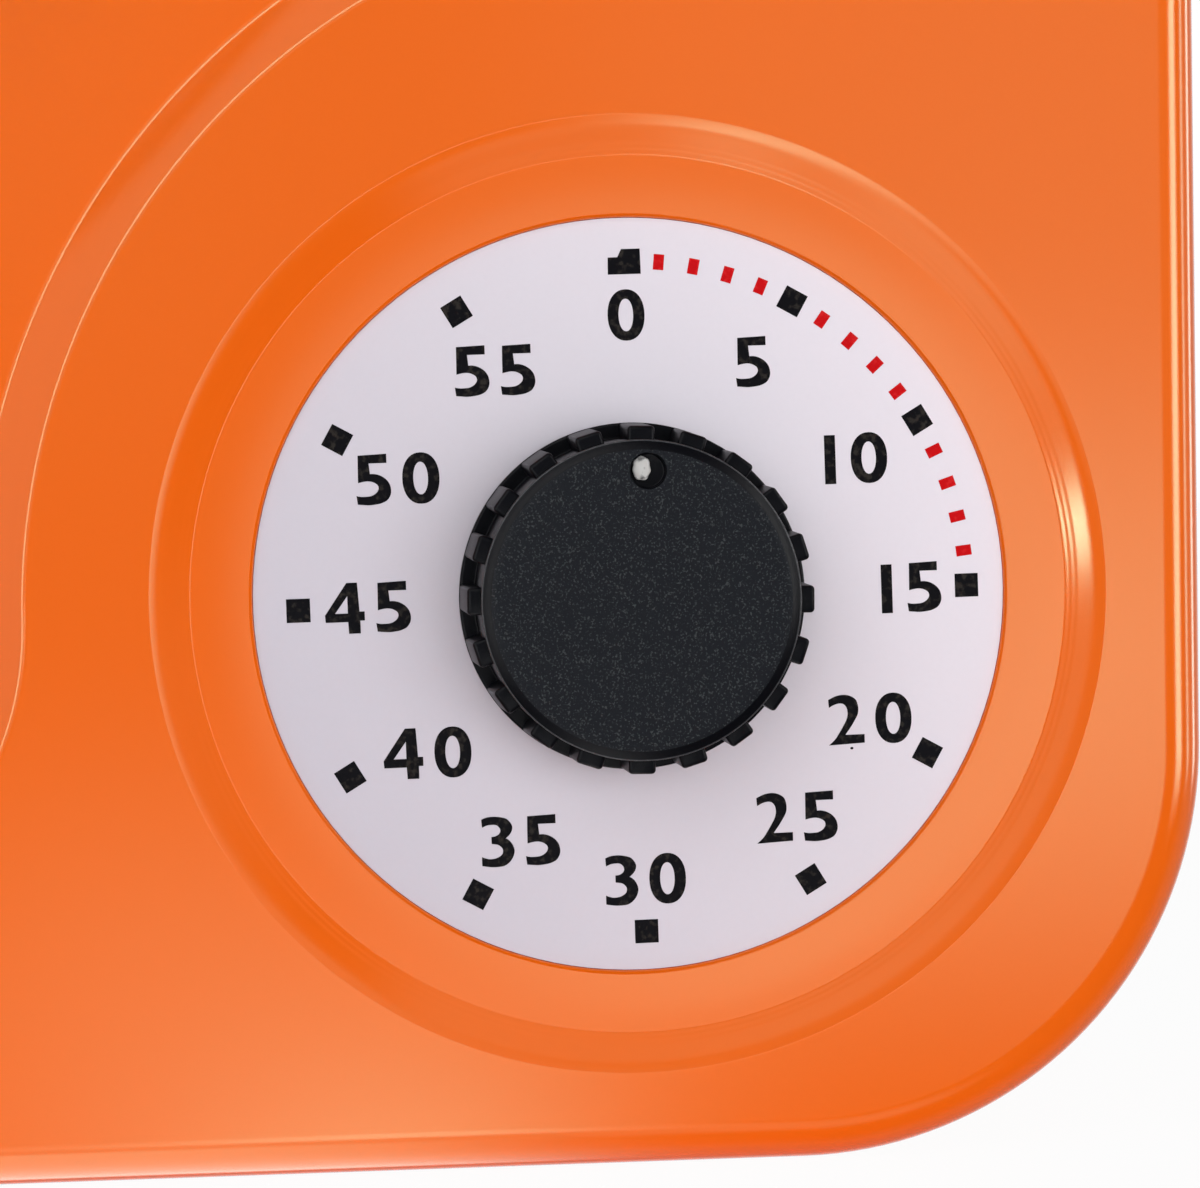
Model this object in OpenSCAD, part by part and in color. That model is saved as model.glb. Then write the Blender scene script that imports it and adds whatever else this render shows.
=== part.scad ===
// Kitchen clock with a wind-up sixty-minute timer.
// A pressed sheet case carries a quartz clock in a sunk panel at its upper left
// and a spring-driven countdown timer in a round dish at its lower right.
// The origin is the middle of the case's flat underside. +Z is up and the dials face -Y.

/* [Case] */
// Width of the case over its side walls
case_w = 240; // [236:1:280]
// Height of the case over its top and bottom walls
case_h = 240; // [236:1:280]
// Depth of the case from its rear rim to its front face
case_d = 50; // [50:1:70]
// Outer radius of the four corners
corner_r = 34.5; // [30:0.5:40]
// Outer radius of the rounded front edge
edge_r = 4; // [2.5:0.5:6]
// Thickness of the case sheet
sheet_t = 1; // [0.8:0.1:1.2]

/* [Sunk panel] */
// Distance from the case's sides to the middle of the panel's sloped step
border_w = 22; // [16:0.5:24]
// Depth of the sunk panel below the front face
panel_depth = 2.5; // [1.5:0.1:3.5]
// Width of the sloped step, seen from the front
step_w = 4.2; // [3:0.1:6]
// Radius of the round bite that the timer takes out of the panel
bite_r = 60.5; // [57:0.5:62]
// How far the bite's centre lies to the right of the timer shaft
bite_shift = 8.4; // [4:0.1:10]
// Radius of the turn that leads from the bite back to the step's straight lower run
turn_r = 25; // [18:0.5:28]

/* [Timer place] */
// Distance from the timer shaft to the case's right side
timer_right = 48.6; // [47:0.1:54]
// Distance from the timer shaft to the case's underside
timer_up = 48.1; // [47:0.1:54]
// Outer radius of the dish pressed around the timer dial
dish_r = 39.7; // [38:0.1:42]
// Width of the dish's sloped edge, seen from the front
dish_slope_w = 2.5; // [1.5:0.1:4]
// Depth of the dish below the front face
dish_depth = 1.3; // [0.8:0.1:2]
// Depth of the dial's seat below the dish
seat_depth = 0.9; // [0.7:0.1:1.5]
// Radius of the timer dial
timer_dial_r = 31.4; // [30:0.1:33]
// Thickness of both printed dials
dial_t = 0.5; // [0.3:0.1:0.6]

/* [Timer knob] */
// Radius of the smooth flange at the knob's foot
knob_r = 14.4; // [14:0.1:16]
// Height of the flange
flange_h = 1.2; // [0.8:0.1:2]
// Radius of the knob's cap
knob_cap_r = 12.9; // [11.5:0.1:13]
// Width of the rounded band between the cap's flat face and its rim
band_w = 1.3; // [0.8:0.1:2]
// Drop of the rounded band from the flat face to the rim
band_drop = 0.5; // [0.2:0.1:1]
// Height of the knob
knob_h = 10.5; // [9:0.5:14]
// Number of grip ribs
rib_count = 20; // [12:1:24]
// Width of one grip rib
rib_w = 2.2; // [1.4:0.1:2.6]
// Radius of the ribs' rounded outer corners
rib_round = 0.4; // [0.2:0.05:0.6]
// How far the ribs stand out of the cap's rim at their tops
rib_out = 1.1; // [0.4:0.1:1.3]
// How far the ribs' tops lie below the cap's rim
rib_drop = 0.5; // [0.2:0.1:2]
// Wall of the knob
knob_wall = 1.8; // [1.4:0.1:2.2]
// Radius of the pointer hole in the cap
pointer_r = 1.4; // [0.8:0.05:1.5]
// Depth of the pointer hole
pointer_depth = 1; // [0.6:0.1:1.2]
// Distance from the shaft to the pointer hole
pointer_at = 10.4; // [8:0.1:10.6]
// Angle of the pointer from straight up, at rest
pointer_turn = -3.3; // [-6:0.1:6]
// Angle of the first rib from the pointer
rib_turn = 2.6; // [0:0.1:17]

/* [Timer movement] */
// How far the knob turns from its stop at zero to its stop when fully wound
wind_turn = 355; // [350:1:356]
// Radius of the two movement plates
plate_r = 29; // [28.5:0.5:31]
// Thickness of the two movement plates
plate_t = 1.5; // [1:0.1:2]
// Clear gap between the two plates
plate_gap = 14; // [14:0.5:16]
// Radius of the timer shaft
shaft_r = 3; // [2.6:0.1:3.2]
// Outer radius of the threaded bush that fixes the movement
bush_r = 5; // [4.4:0.1:5.4]
// Teeth of the main wheel
main_teeth = 72; // [70:1:74]
// Tooth module of the main wheel and the pinion that it drives
main_module = 0.5; // [0.48:0.01:0.52]
// Tooth module of the faster wheels
fine_module = 0.4; // [0.38:0.01:0.42]
// Radius of the bell
bell_r = 20; // [17:0.5:21]
// Depth of the bell
bell_h = 9; // [7:0.5:11]

/* [Clock] */
// Outer radius of the lens over the clock dial
lens_r = 64.5; // [60:0.5:66]
// Gap between the lens and the sunk panel's straight steps
lens_gap = 8; // [6:0.5:10]
// Height of the lens rim above the sunk panel
lens_h = 9.5; // [9:0.5:12]
// Wall of the lens
lens_wall = 1.6; // [1.2:0.1:2]
// Side of the square quartz movement
quartz_w = 56; // [55:0.5:60]
// Depth of the quartz movement behind the panel
quartz_d = 16; // [15.5:0.5:18]
// Length of the minute hand from its pivot
minute_len = 50; // [40:1:54]
// Length of the hour hand from its pivot
hour_len = 34; // [26:1:40]
// Length of the second hand from its pivot
second_len = 52; // [40:1:54]

/* [Back] */
// Thickness of the moulded rear cover
cover_t = 2; // [1.6:0.1:3]
// Gap between the rear cover and the case walls
cover_gap = 0.3; // [0.2:0.05:0.6]
// Side of the square window that gives access to the battery
window_w = 84; // [78:1:90]
// Radius of the battery window's corners
window_corner = 8; // [4:0.5:14]
// Distance of each cover screw from the middle of its wall
screw_at = 70; // [50:1:78]
// Radius of the cover screws
screw_r = 1.6; // [1.4:0.1:2]

/* [Hidden] */

// Facets of the larger round forms
$fn = 96;
// Smallest clearance between parts that are laid in one another
fit = 0.1;
// Radial clearance of a running shaft
run = 0.05;
// Flat strip that each pressed form of the case carries, and where the flats begin under it
tab = 2.5;
lap = 0.8;

// Heights are measured from the middle of the case's depth towards the viewer
front = case_d / 2;
rear = -case_d / 2;
panel = front - panel_depth;
dish = front - dish_depth;
seat = dish - seat_depth;

// Timer stack, from the case sheet backwards and forwards
timer_at = [case_w / 2 - timer_right, timer_up - case_h / 2];
front_plate_top = seat - sheet_t;
gap_top = front_plate_top - plate_t;
gap_low = gap_top - plate_gap;
back_plate_low = gap_low - plate_t;
nut_t = 2.2;
washer_t = 0.5;
nut_low = seat + dial_t + washer_t;
knob_lift = 0.4;
knob_low = seat + dial_t + knob_lift;
knob_top = knob_low + knob_h;
knob_draft = 0.2;
knob_ease = 0.25;
hub_r = shaft_r + 2;
shaft_in = 0.6;

// Sunk panel outline: the mid-line of its sloped step
panel_w = case_w - 2 * border_w;
panel_h = case_h - 2 * border_w;
panel_r = corner_r - border_w;
// The bite is a quarter circle; a turn at each end leads it into a straight run of the step
bite_at = [timer_at.x + bite_shift, turn_r - panel_h / 2];
high_turn_r = panel_w / 2 - bite_at.x;
low_turn_at = bite_at - [bite_r + turn_r, 0];
high_turn_at = bite_at + [0, bite_r + high_turn_r];

// Clock stack
clock_at = [lens_r + lens_gap - panel_w / 2, panel_h / 2 - lens_gap - lens_r];
dial_top = panel + dial_t;
clock_dial_r = lens_r - lens_wall - 0.5;
quartz_bush_r = 4;
quartz_top = panel - sheet_t;
quartz_low = quartz_top - quartz_d;
quartz_nut_t = 2;
quartz_nut_r = 6.9;
quartz_corner = 2.5;
// The hands' pipes stand in one another in a bore of the movement, each a step shorter
hands_bore = 6;
pipe_step = 0.2;
hour_pipe_low = quartz_top - hands_bore + pipe_step;
minute_arbor_low = hour_pipe_low + pipe_step;
second_arbor_low = minute_arbor_low + pipe_step;
hour_low = dial_top + quartz_nut_t + 0.8;
hour_t = 0.6;
minute_low = hour_low + hour_t + 0.8;
minute_t = 0.5;
second_low = minute_low + minute_t + 0.8;
second_t = 0.4;
second_arbor_r = 0.5;
minute_arbor_r = 1.4;
hour_pipe_r = 2.5;
lens_pin_r = 0.7;
lens_pin_angles = [30, 150, 270];
battery_r = 7.1;
battery_len = 49.2;
bay_len = quartz_w - 2.4;
bay_h = 2 * battery_r + 1;
bay_drop = quartz_w / 2 - 1.2 - bay_h / 2;
contact_t = 0.4;
contact_w = 11;
contact_h = 9;
setting_r = 6;
setting_t = 3;
setting_up = 15;
setting_stem_r = 1.5;
setting_stem_h = 3.8;
setting_gap = 0.4;
setting_notch_r = 0.6;
cell_knob_r = 2.7;
cell_knob_h = 1;
// Widths, tails and bosses of the hands
hour_w = 6;
hour_tail = 8;
hour_boss = 4.5;
minute_w = 4.6;
minute_tail = 10;
minute_boss = 3.6;
second_w = 1.2;
second_tail = 16;
second_boss = 2.6;
second_cap_r = 1.4;
second_cap_h = 0.8;

// Rear cover stack
boss_r = 4;
boss_h = 6;
lug_w = 12;
lug_t = 1.5;
lug_reach = 12;
lug_low = rear + cover_t + boss_h;
screw_in = 6.5;
head_r = 3.2;
head_t = 1.4;
skirt_t = 1.5;
skirt_in = 3;
skirt_h = 6;
keyhole_up = 14;
keyhole_r = 4.5;
keyhole_slot_r = 2.2;
keyhole_len = 9;
slot_len = 26;
slot_w = 2.4;
slot_pitch = 6;

// Gear train of the timer
pinion_teeth = 12;
small_pinion_teeth = 10;
second_teeth = 60;
third_teeth = 50;
escape_teeth = 20;
pressure_angle = 25;
tooth_slack = 0.08;
second_way = 100;
third_way = -15;
escape_way = -45;
balance_way = -70;
second_gap = main_module * (main_teeth + pinion_teeth) / 2;
third_gap = fine_module * (second_teeth + small_pinion_teeth) / 2;
escape_gap = fine_module * (third_teeth + small_pinion_teeth) / 2;
second_at = polar(second_gap, second_way);
third_at = second_at + polar(third_gap, third_way);
escape_at = third_at + polar(escape_gap, escape_way);
escape_r = 6;
balance_gap = 8.5;
balance_at = escape_at + polar(balance_gap, balance_way);
pin_r = 0.4;
pin_path = escape_r + pin_r + 0.15;
pin_turn = 1.5 * 360 / escape_teeth;
second_turn = mesh_turn(second_way, main_teeth, pinion_teeth, 0);
third_turn = mesh_turn(third_way, second_teeth, small_pinion_teeth, second_turn);
fine_turn = mesh_turn(escape_way, third_teeth, small_pinion_teeth, third_turn);
// Levels between the plates, counted from the back plate
main_level = gap_low + 1.5;
second_level = main_level + 2.8;
third_level = second_level + 2.4;
escape_level = third_level + 2.6;
balance_level = escape_level + 2;
wheel_t = 1;
spring_level = third_level + 1.6;
spring_h = gap_top - 0.4 - spring_level;
pivot_r = 0.8;
pillar_r = 2;
pillar_at = plate_r - 3.2;
pillar_angles = [135, 200, 285];
wheel_hole_at = 9.6;
wheel_hole_r = 3;
// The winding stop: a pin under the main wheel runs from one side of a bent lug to the other
stop_at = 15.5;
stop_pin_r = 0.45;
stop_w = 0.36;
stop_len = 2;
stop_angle = 40;
stop_play = (360 - wind_turn) / 2;
spring_turns = 6;
spring_pitch = 1.35;
spring_t = 0.4;
spring_in = shaft_r + 0.6;
stud_r = 0.8;
bell_shift = [-5, -7];
bell_t = 1;
bell_mouth = back_plate_low - 4.5;
post_r = 2.2;
hammer_shift = [8, -13];
hammer_len = 10.5;

function polar(r, a) = r * [cos(a), sin(a)];
// Involute function of an angle in degrees, in degrees
function inv(a) = tan(a) * 180 / PI - a;
// Half the angle that a tooth spans at radius r
function half_tooth(r, pitch_r, teeth) = let(base_r = pitch_r * cos(pressure_angle))
    90 / teeth - tooth_slack / pitch_r * 90 / PI + inv(pressure_angle)
    - inv(acos(min(1, base_r / r)));
// Turn that puts a second gear in mesh with a first, seen from the first in direction way
function mesh_turn(way, teeth_a, teeth_b, turn_a) =
    way + 180 + (way - turn_a) * teeth_a / teeth_b - 180 / teeth_b;

// Lays a front view, drawn about the case's middle, upright in the part's own frame
module upright() {
    translate([0, 0, case_h / 2]) rotate([90, 0, 0]) children();
}
module at_timer() { upright() translate(timer_at) children(); }
module at_clock() { upright() translate(clock_at) children(); }
// Lifts and thickens an outline
module slab(low, high) {
    translate([0, 0, low]) linear_extrude(high - low) children();
}
module disc(r, low, high) {
    translate([0, 0, low]) cylinder(r = r, h = high - low);
}
module rounded_rect(w, h, r) {
    square([w - 2 * r, h], center = true);
    square([w, h - 2 * r], center = true);
    for (x = [-1, 1], y = [-1, 1]) translate([x * (w / 2 - r), y * (h / 2 - r)]) circle(r);
}
// Sweeps a section round an arc: its x runs outwards from radius r
module along_arc(centre, r, from, to) {
    translate(centre) rotate(from) rotate_extrude(angle = to - from) translate([r, 0]) children();
}
// Sweeps a section along a line: its x runs to the left of the way
module along_line(from, to) {
    way = to - from;
    translate(from) rotate([0, 0, atan2(way.y, way.x)]) rotate([90, 0, 90])
        linear_extrude(norm(way)) children();
}

// ---- Case ----
// Section of the side wall and rounded front edge; x = 0 is the outer face
module wall_section() {
    translate([-edge_r, front - edge_r]) difference() {
        intersection() {
            circle(edge_r);
            square(edge_r);
        }
        circle(edge_r - sheet_t);
    }
    translate([-sheet_t, rear]) square([sheet_t, case_d - edge_r]);
    translate([-edge_r - tab, front - sheet_t]) square([tab, sheet_t]);
}
module case_walls() {
    x = case_w / 2 - corner_r;
    y = case_h / 2 - corner_r;
    along_arc([x, y], corner_r, 0, 90) wall_section();
    along_arc([-x, y], corner_r, 90, 180) wall_section();
    along_arc([-x, -y], corner_r, 180, 270) wall_section();
    along_arc([x, -y], corner_r, 270, 360) wall_section();
    along_line([-x, case_h / 2], [x, case_h / 2]) wall_section();
    along_line([case_w / 2, y], [case_w / 2, -y]) wall_section();
    along_line([x, -case_h / 2], [-x, -case_h / 2]) wall_section();
    along_line([-case_w / 2, -y], [-case_w / 2, y]) wall_section();
}
// Outline of the sunk panel, grown by s from the mid-line of its step, and by turn_s at its turns
module panel_outline(s, turn_s) {
    right = panel_w / 2 + 2 * step_w;
    low = -panel_h / 2 - 2 * step_w;
    difference() {
        rounded_rect(panel_w + 2 * s, panel_h + 2 * s, panel_r + s);
        translate(bite_at) circle(bite_r - s);
        difference() {
            polygon([low_turn_at, bite_at, high_turn_at, [right, high_turn_at.y], [right, low],
                [low_turn_at.x, low]]);
            translate(low_turn_at) circle(turn_r + turn_s);
            translate(high_turn_at) circle(high_turn_r + turn_s);
        }
    }
}
// Section of the sloped step and a strip of the sheet on both its sides;
// x runs from the sunk panel to the front face
module step_section() {
    half = step_w / 2;
    polygon([[-half - tab, panel - sheet_t], [-half - tab, panel], [-half, panel], [half, front],
        [half + tab, front], [half + tab, front - sheet_t], [half, front - sheet_t],
        [-half, panel - sheet_t]]);
}
module panel_step() {
    x = panel_w / 2 - panel_r;
    y = panel_h / 2 - panel_r;
    along_arc([x, y], panel_r, 0, 90) step_section();
    along_arc([-x, y], panel_r, 90, 180) step_section();
    along_arc([-x, -y], panel_r, 180, 270) step_section();
    along_arc(low_turn_at, turn_r, 270, 360) step_section();
    along_arc(high_turn_at, high_turn_r, 270, 360) step_section();
    along_arc(bite_at, bite_r, 90, 180) mirror([1, 0]) step_section();
    along_line([-x, panel_h / 2], [x, panel_h / 2]) step_section();
    along_line([panel_w / 2, y], [panel_w / 2, high_turn_at.y]) step_section();
    along_line([low_turn_at.x, -panel_h / 2], [-x, -panel_h / 2]) step_section();
    along_line([-panel_w / 2, -y], [-panel_w / 2, y]) step_section();
}
// The dish round the timer, its dial seat and the hole for the movement's bush
module timer_dish() {
    slope_in = dish_r - dish_slope_w;
    seat_r = timer_dial_r + fit;
    rotate_extrude() polygon([[bush_r + fit, seat], [seat_r, seat], [seat_r, dish], [slope_in, dish],
        [dish_r, front], [dish_r + tab, front], [dish_r + tab, front - sheet_t],
        [dish_r, front - sheet_t], [slope_in, dish - sheet_t],
        [seat_r + sheet_t, dish - sheet_t], [seat_r + sheet_t, seat - sheet_t],
        [bush_r + fit, seat - sheet_t]]);
}
module front_case() {
    color("darkorange") upright() {
        case_walls();
        panel_step();
        slab(front - sheet_t, front) difference() {
            inset = edge_r + lap;
            rounded_rect(case_w - 2 * inset, case_h - 2 * inset, corner_r - inset);
            panel_outline(step_w / 2 + lap, step_w / 2 + 2 * lap);
            translate(timer_at) circle(dish_r + lap);
        }
        slab(panel - sheet_t, panel) difference() {
            panel_outline(-step_w / 2 - lap, -step_w / 2 - 2 * lap);
            translate(clock_at) {
                circle(quartz_bush_r + fit);
                for (a = lens_pin_angles) translate(polar(lens_r - lens_wall / 2, a))
                    circle(lens_pin_r + fit);
            }
        }
        translate(timer_at) timer_dish();
    }
}
// Angle brackets welded inside the top and bottom walls, which take the cover screws
module cover_lugs() {
    wall = case_h / 2 - sheet_t;
    color("silver") upright() for (x = [0, 1], y = [0, 1])
        mirror([x, 0, 0]) mirror([0, y, 0]) difference() {
        union() {
            translate([screw_at - lug_w / 2, wall - lug_reach, lug_low]) cube([lug_w, lug_reach, lug_t]);
            translate([screw_at - lug_w / 2, wall - lug_t, lug_low]) cube([lug_w, lug_t, lug_reach]);
        }
        translate([screw_at, wall - screw_in, lug_low - 1]) cylinder(r = screw_r, h = lug_t + 2);
    }
}

// ---- Back ----
module cover_outline(inset) {
    off = sheet_t + cover_gap + inset;
    rounded_rect(case_w - 2 * off, case_h - 2 * off, corner_r - off);
}
module window_outline(grow) {
    side = window_w + 2 * grow;
    translate(clock_at) rounded_rect(side, side, window_corner + grow);
}
module keyhole_outline() {
    translate([0, case_h / 2 - keyhole_up - keyhole_len]) {
        circle(keyhole_r);
        translate([-keyhole_slot_r, 0]) square([2 * keyhole_slot_r, keyhole_len]);
        translate([0, keyhole_len]) circle(keyhole_slot_r);
    }
}
module each_screw() {
    for (x = [-1, 1], y = [-1, 1])
        translate([x * screw_at, y * (case_h / 2 - sheet_t - screw_in)]) children();
}
module back_cover() {
    color("dimgray") upright() difference() {
        union() {
            slab(rear, rear + cover_t) difference() {
                cover_outline(0);
                window_outline(0);
            }
            slab(rear, rear + cover_t + skirt_h) difference() {
                cover_outline(skirt_in);
                cover_outline(skirt_in + skirt_t);
                each_screw() square([lug_w + 4, 4 * lug_reach], center = true);
            }
            slab(rear, rear + cover_t + skirt_h) difference() {
                window_outline(skirt_t);
                window_outline(0);
            }
            each_screw() disc(boss_r, rear, lug_low);
        }
        each_screw() {
            disc(screw_r + fit, rear - 1, lug_low + 1);
            disc(head_r + fit, rear - 1, rear + head_t + 0.2);
        }
        slab(rear - 1, rear + cover_t + 1) keyhole_outline();
        translate(timer_at) for (i = [-2:2])
            slab(rear - 1, rear + cover_t + 1) translate([0, i * slot_pitch]) {
                square([slot_len, slot_w], center = true);
                for (x = [-1, 1]) translate([x * slot_len / 2, 0]) circle(slot_w / 2);
            }
    }
}
module cover_screws() {
    color("silver") upright() each_screw() difference() {
        union() {
            disc(head_r, rear + 0.2, rear + head_t + 0.2);
            disc(screw_r, rear + head_t, lug_low + lug_t + 1.5);
        }
        slab(rear, rear + 0.9) {
            square([3.4, 0.7], center = true);
            square([0.7, 3.4], center = true);
        }
    }
}

// ---- Timer, outside ----
module timer_dial() {
    color("white") at_timer() slab(seat, seat + dial_t) difference() {
        circle(timer_dial_r);
        circle(bush_r + fit);
    }
}
module timer_washer() {
    color("silver") at_timer() slab(seat + dial_t, nut_low) difference() {
        circle(bush_r + 2.2);
        circle(bush_r + fit);
    }
}
module timer_nut() {
    color("silver") at_timer() slab(nut_low, nut_low + nut_t) difference() {
        circle(bush_r + 2.6, $fn = 6);
        circle(bush_r + run);
    }
}
// Section of the knob's shell: cap with a rounded band, drafted skirt and foot flange
module knob_section() {
    rim = knob_top - band_drop;
    flat_r = knob_cap_r - band_w;
    skirt_r = knob_cap_r + knob_draft;
    polygon([[0, knob_top - knob_wall], [knob_cap_r - knob_wall, knob_top - knob_wall],
        [skirt_r - knob_wall, knob_low], [knob_r - knob_ease, knob_low], [knob_r, knob_low + knob_ease],
        [knob_r, knob_low + flange_h - knob_ease], [knob_r - knob_ease, knob_low + flange_h],
        [skirt_r, knob_low + flange_h], [knob_cap_r, rim - knob_ease],
        [knob_cap_r - 0.3 * knob_ease, rim - 0.3 * knob_ease], [knob_cap_r - knob_ease, rim],
        for (i = [1:4]) [knob_cap_r - knob_ease + (flat_r + knob_ease - knob_cap_r) * i / 4,
            rim + band_drop * sin(22.5 * i)],
        [0, knob_top]]);
}
// Grip rib with a drafted back, rounded outer corners and a chamfered top
module knob_rib() {
    rib_top = knob_top - band_drop - rib_drop;
    top_r = knob_cap_r + rib_out;
    foot = knob_cap_r - 0.4;
    out_r = knob_r - knob_ease;
    intersection() {
        rotate([90, 0, 0]) translate([0, 0, -rib_w / 2]) linear_extrude(rib_w)
            polygon([[foot, knob_low + 0.4], [out_r, knob_low + 0.4], [top_r, rib_top - knob_ease],
                [top_r - knob_ease, rib_top], [foot, rib_top]]);
        slab(knob_low, rib_top + 1) translate([out_r - 2, 0]) rounded_rect(4, rib_w, rib_round);
    }
}
module timer_knob() {
    color("#26272b") at_timer() rotate(90 + pointer_turn) difference() {
        union() {
            rotate_extrude() knob_section();
            disc(hub_r, nut_low + nut_t + 0.5, knob_top - knob_wall);
            for (i = [0:rib_count - 1]) rotate(rib_turn + i * 360 / rib_count) knob_rib();
        }
        disc(shaft_r, nut_low, knob_top - knob_wall + shaft_in);
        translate([pointer_at, 0, 0]) disc(pointer_r, knob_top - pointer_depth, knob_top + 1);
    }
}

// ---- Timer, movement ----
module pillar_spots() {
    for (a = pillar_angles) translate(polar(pillar_at, a)) children();
}
// Spots of the arbors that turn in both plates
module arbor_spots() {
    for (p = [second_at, third_at, escape_at, balance_at]) translate(p) children();
}
module timer_front_plate() {
    color("#b9bcc0") at_timer() difference() {
        union() {
            slab(gap_top, front_plate_top) circle(plate_r);
            disc(bush_r, gap_top, nut_low + nut_t + 0.4);
            translate([spring_in + spring_turns * spring_pitch + spring_t + stud_r, 0, 0])
                disc(stud_r, spring_level, gap_top + 0.2);
        }
        disc(shaft_r + run, gap_top - 1, nut_low + nut_t + 2);
        slab(gap_top - 1, front_plate_top + 1) {
            arbor_spots() circle(pivot_r + run);
            pillar_spots() circle(pillar_r - 0.8);
        }
    }
}
module timer_back_plate() {
    color("#b9bcc0") at_timer() rotate(stop_angle)
        translate([stop_at - stop_len / 2, -stop_w / 2, gap_low - 0.2]) cube([stop_len, stop_w, 1.4]);
    color("#b9bcc0") at_timer() slab(back_plate_low, gap_low) difference() {
        circle(plate_r);
        circle(pivot_r * 2 + run);
        arbor_spots() circle(pivot_r + run);
        pillar_spots() circle(pillar_r - 0.8);
        translate(bell_shift) circle(post_r - 0.8);
        translate(hammer_shift) circle(pivot_r);
    }
}
// Shouldered pillars riveted through both plates
module timer_pillars() {
    color("silver") at_timer() pillar_spots() {
        disc(pillar_r, gap_low, gap_top);
        disc(pillar_r - 0.8, back_plate_low - 0.6, front_plate_top);
    }
}
module timer_arbor() {
    color("silver") at_timer() {
        disc(shaft_r, gap_low + 0.3, knob_top - knob_wall + shaft_in);
        disc(pivot_r * 2, back_plate_low - 0.4, gap_low + 0.3);
    }
}
// Toothed outline with involute flanks
module gear_outline(teeth, tooth_module) {
    pitch_r = teeth * tooth_module / 2;
    root_r = pitch_r - 1.05 * tooth_module;
    tip_r = pitch_r + 0.8 * tooth_module;
    base_r = max(root_r + 0.01, pitch_r * cos(pressure_angle));
    radii = [root_r, (base_r + pitch_r) / 2, pitch_r, tip_r];
    halves = [for (r = radii) half_tooth(max(r, base_r), pitch_r, teeth)];
    polygon([for (i = [0:teeth - 1], side = [-1, 1], k = [0:3])
        let(j = side < 0 ? k : 3 - k) polar(radii[j], i * 360 / teeth + side * halves[j])]);
}
// A wheel with spokes on its arbor, and the pinion that drives it
module wheel_pair(teeth, level, pinion, pinion_module, pinion_low, turn, pinion_turn) {
    rim_r = teeth * fine_module / 2 - 2;
    difference() {
        slab(level, level + wheel_t) rotate(turn) gear_outline(teeth, fine_module);
        slab(level - 1, level + wheel_t + 1) rotate(turn) difference() {
            circle(rim_r);
            circle(pivot_r + 1.6);
            for (a = [0:90:270]) rotate(a) translate([0, -0.7]) square([rim_r + 1, 1.4]);
        }
    }
    slab(pinion_low, level) rotate(pinion_turn) gear_outline(pinion, pinion_module);
    disc(pivot_r, back_plate_low - 0.3, front_plate_top - 0.2);
}
module main_wheel() {
    color("#c9a24a") at_timer() rotate(stop_angle - stop_play) translate([stop_at, 0, 0])
        disc(stop_pin_r, gap_low + 0.2, main_level + 0.2);
    color("#c9a24a") at_timer() difference() {
        slab(main_level, main_level + wheel_t) gear_outline(main_teeth, main_module);
        slab(main_level - 1, main_level + wheel_t + 1) {
            circle(shaft_r);
            for (a = [0:72:288]) rotate(a) translate([wheel_hole_at, 0]) circle(wheel_hole_r);
        }
    }
}
// Open flat spring wound round the arbor and held at its outer end on a stud
module mainspring() {
    steps = 20 * spring_turns;
    side = [for (i = [0:steps]) polar(spring_in + spring_pitch * i / 20, i * 18)];
    outer = [for (i = [steps:-1:0]) polar(spring_in + spring_t + spring_pitch * i / 20, i * 18)];
    color("#5a6472") at_timer() slab(spring_level, spring_level + spring_h) polygon(concat(side, outer));
}
module second_wheel() {
    color("#c9a24a") at_timer() translate(second_at)
        wheel_pair(second_teeth, second_level, pinion_teeth, main_module, main_level - 0.4,
            second_turn, second_turn);
}
module third_wheel() {
    color("#c9a24a") at_timer() translate(third_at)
        wheel_pair(third_teeth, third_level, small_pinion_teeth, fine_module, second_level - 0.4,
            third_turn, third_turn);
}
module escape_wheel() {
    tooth = 360 / escape_teeth;
    color("#c9a24a") at_timer() translate(escape_at) {
        slab(third_level - 0.4, escape_level) rotate(fine_turn) gear_outline(small_pinion_teeth, fine_module);
        slab(escape_level, escape_level + wheel_t) rotate(balance_way) polygon([for (i = [0:escape_teeth - 1],
            p = [[escape_r - 1.6, -0.4], [escape_r, -0.06], [escape_r, 0.06], [escape_r - 1.6, 0.2]])
            polar(p[0], (i + p[1]) * tooth)]);
        disc(pivot_r, back_plate_low - 0.3, front_plate_top - 0.2);
    }
}
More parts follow.
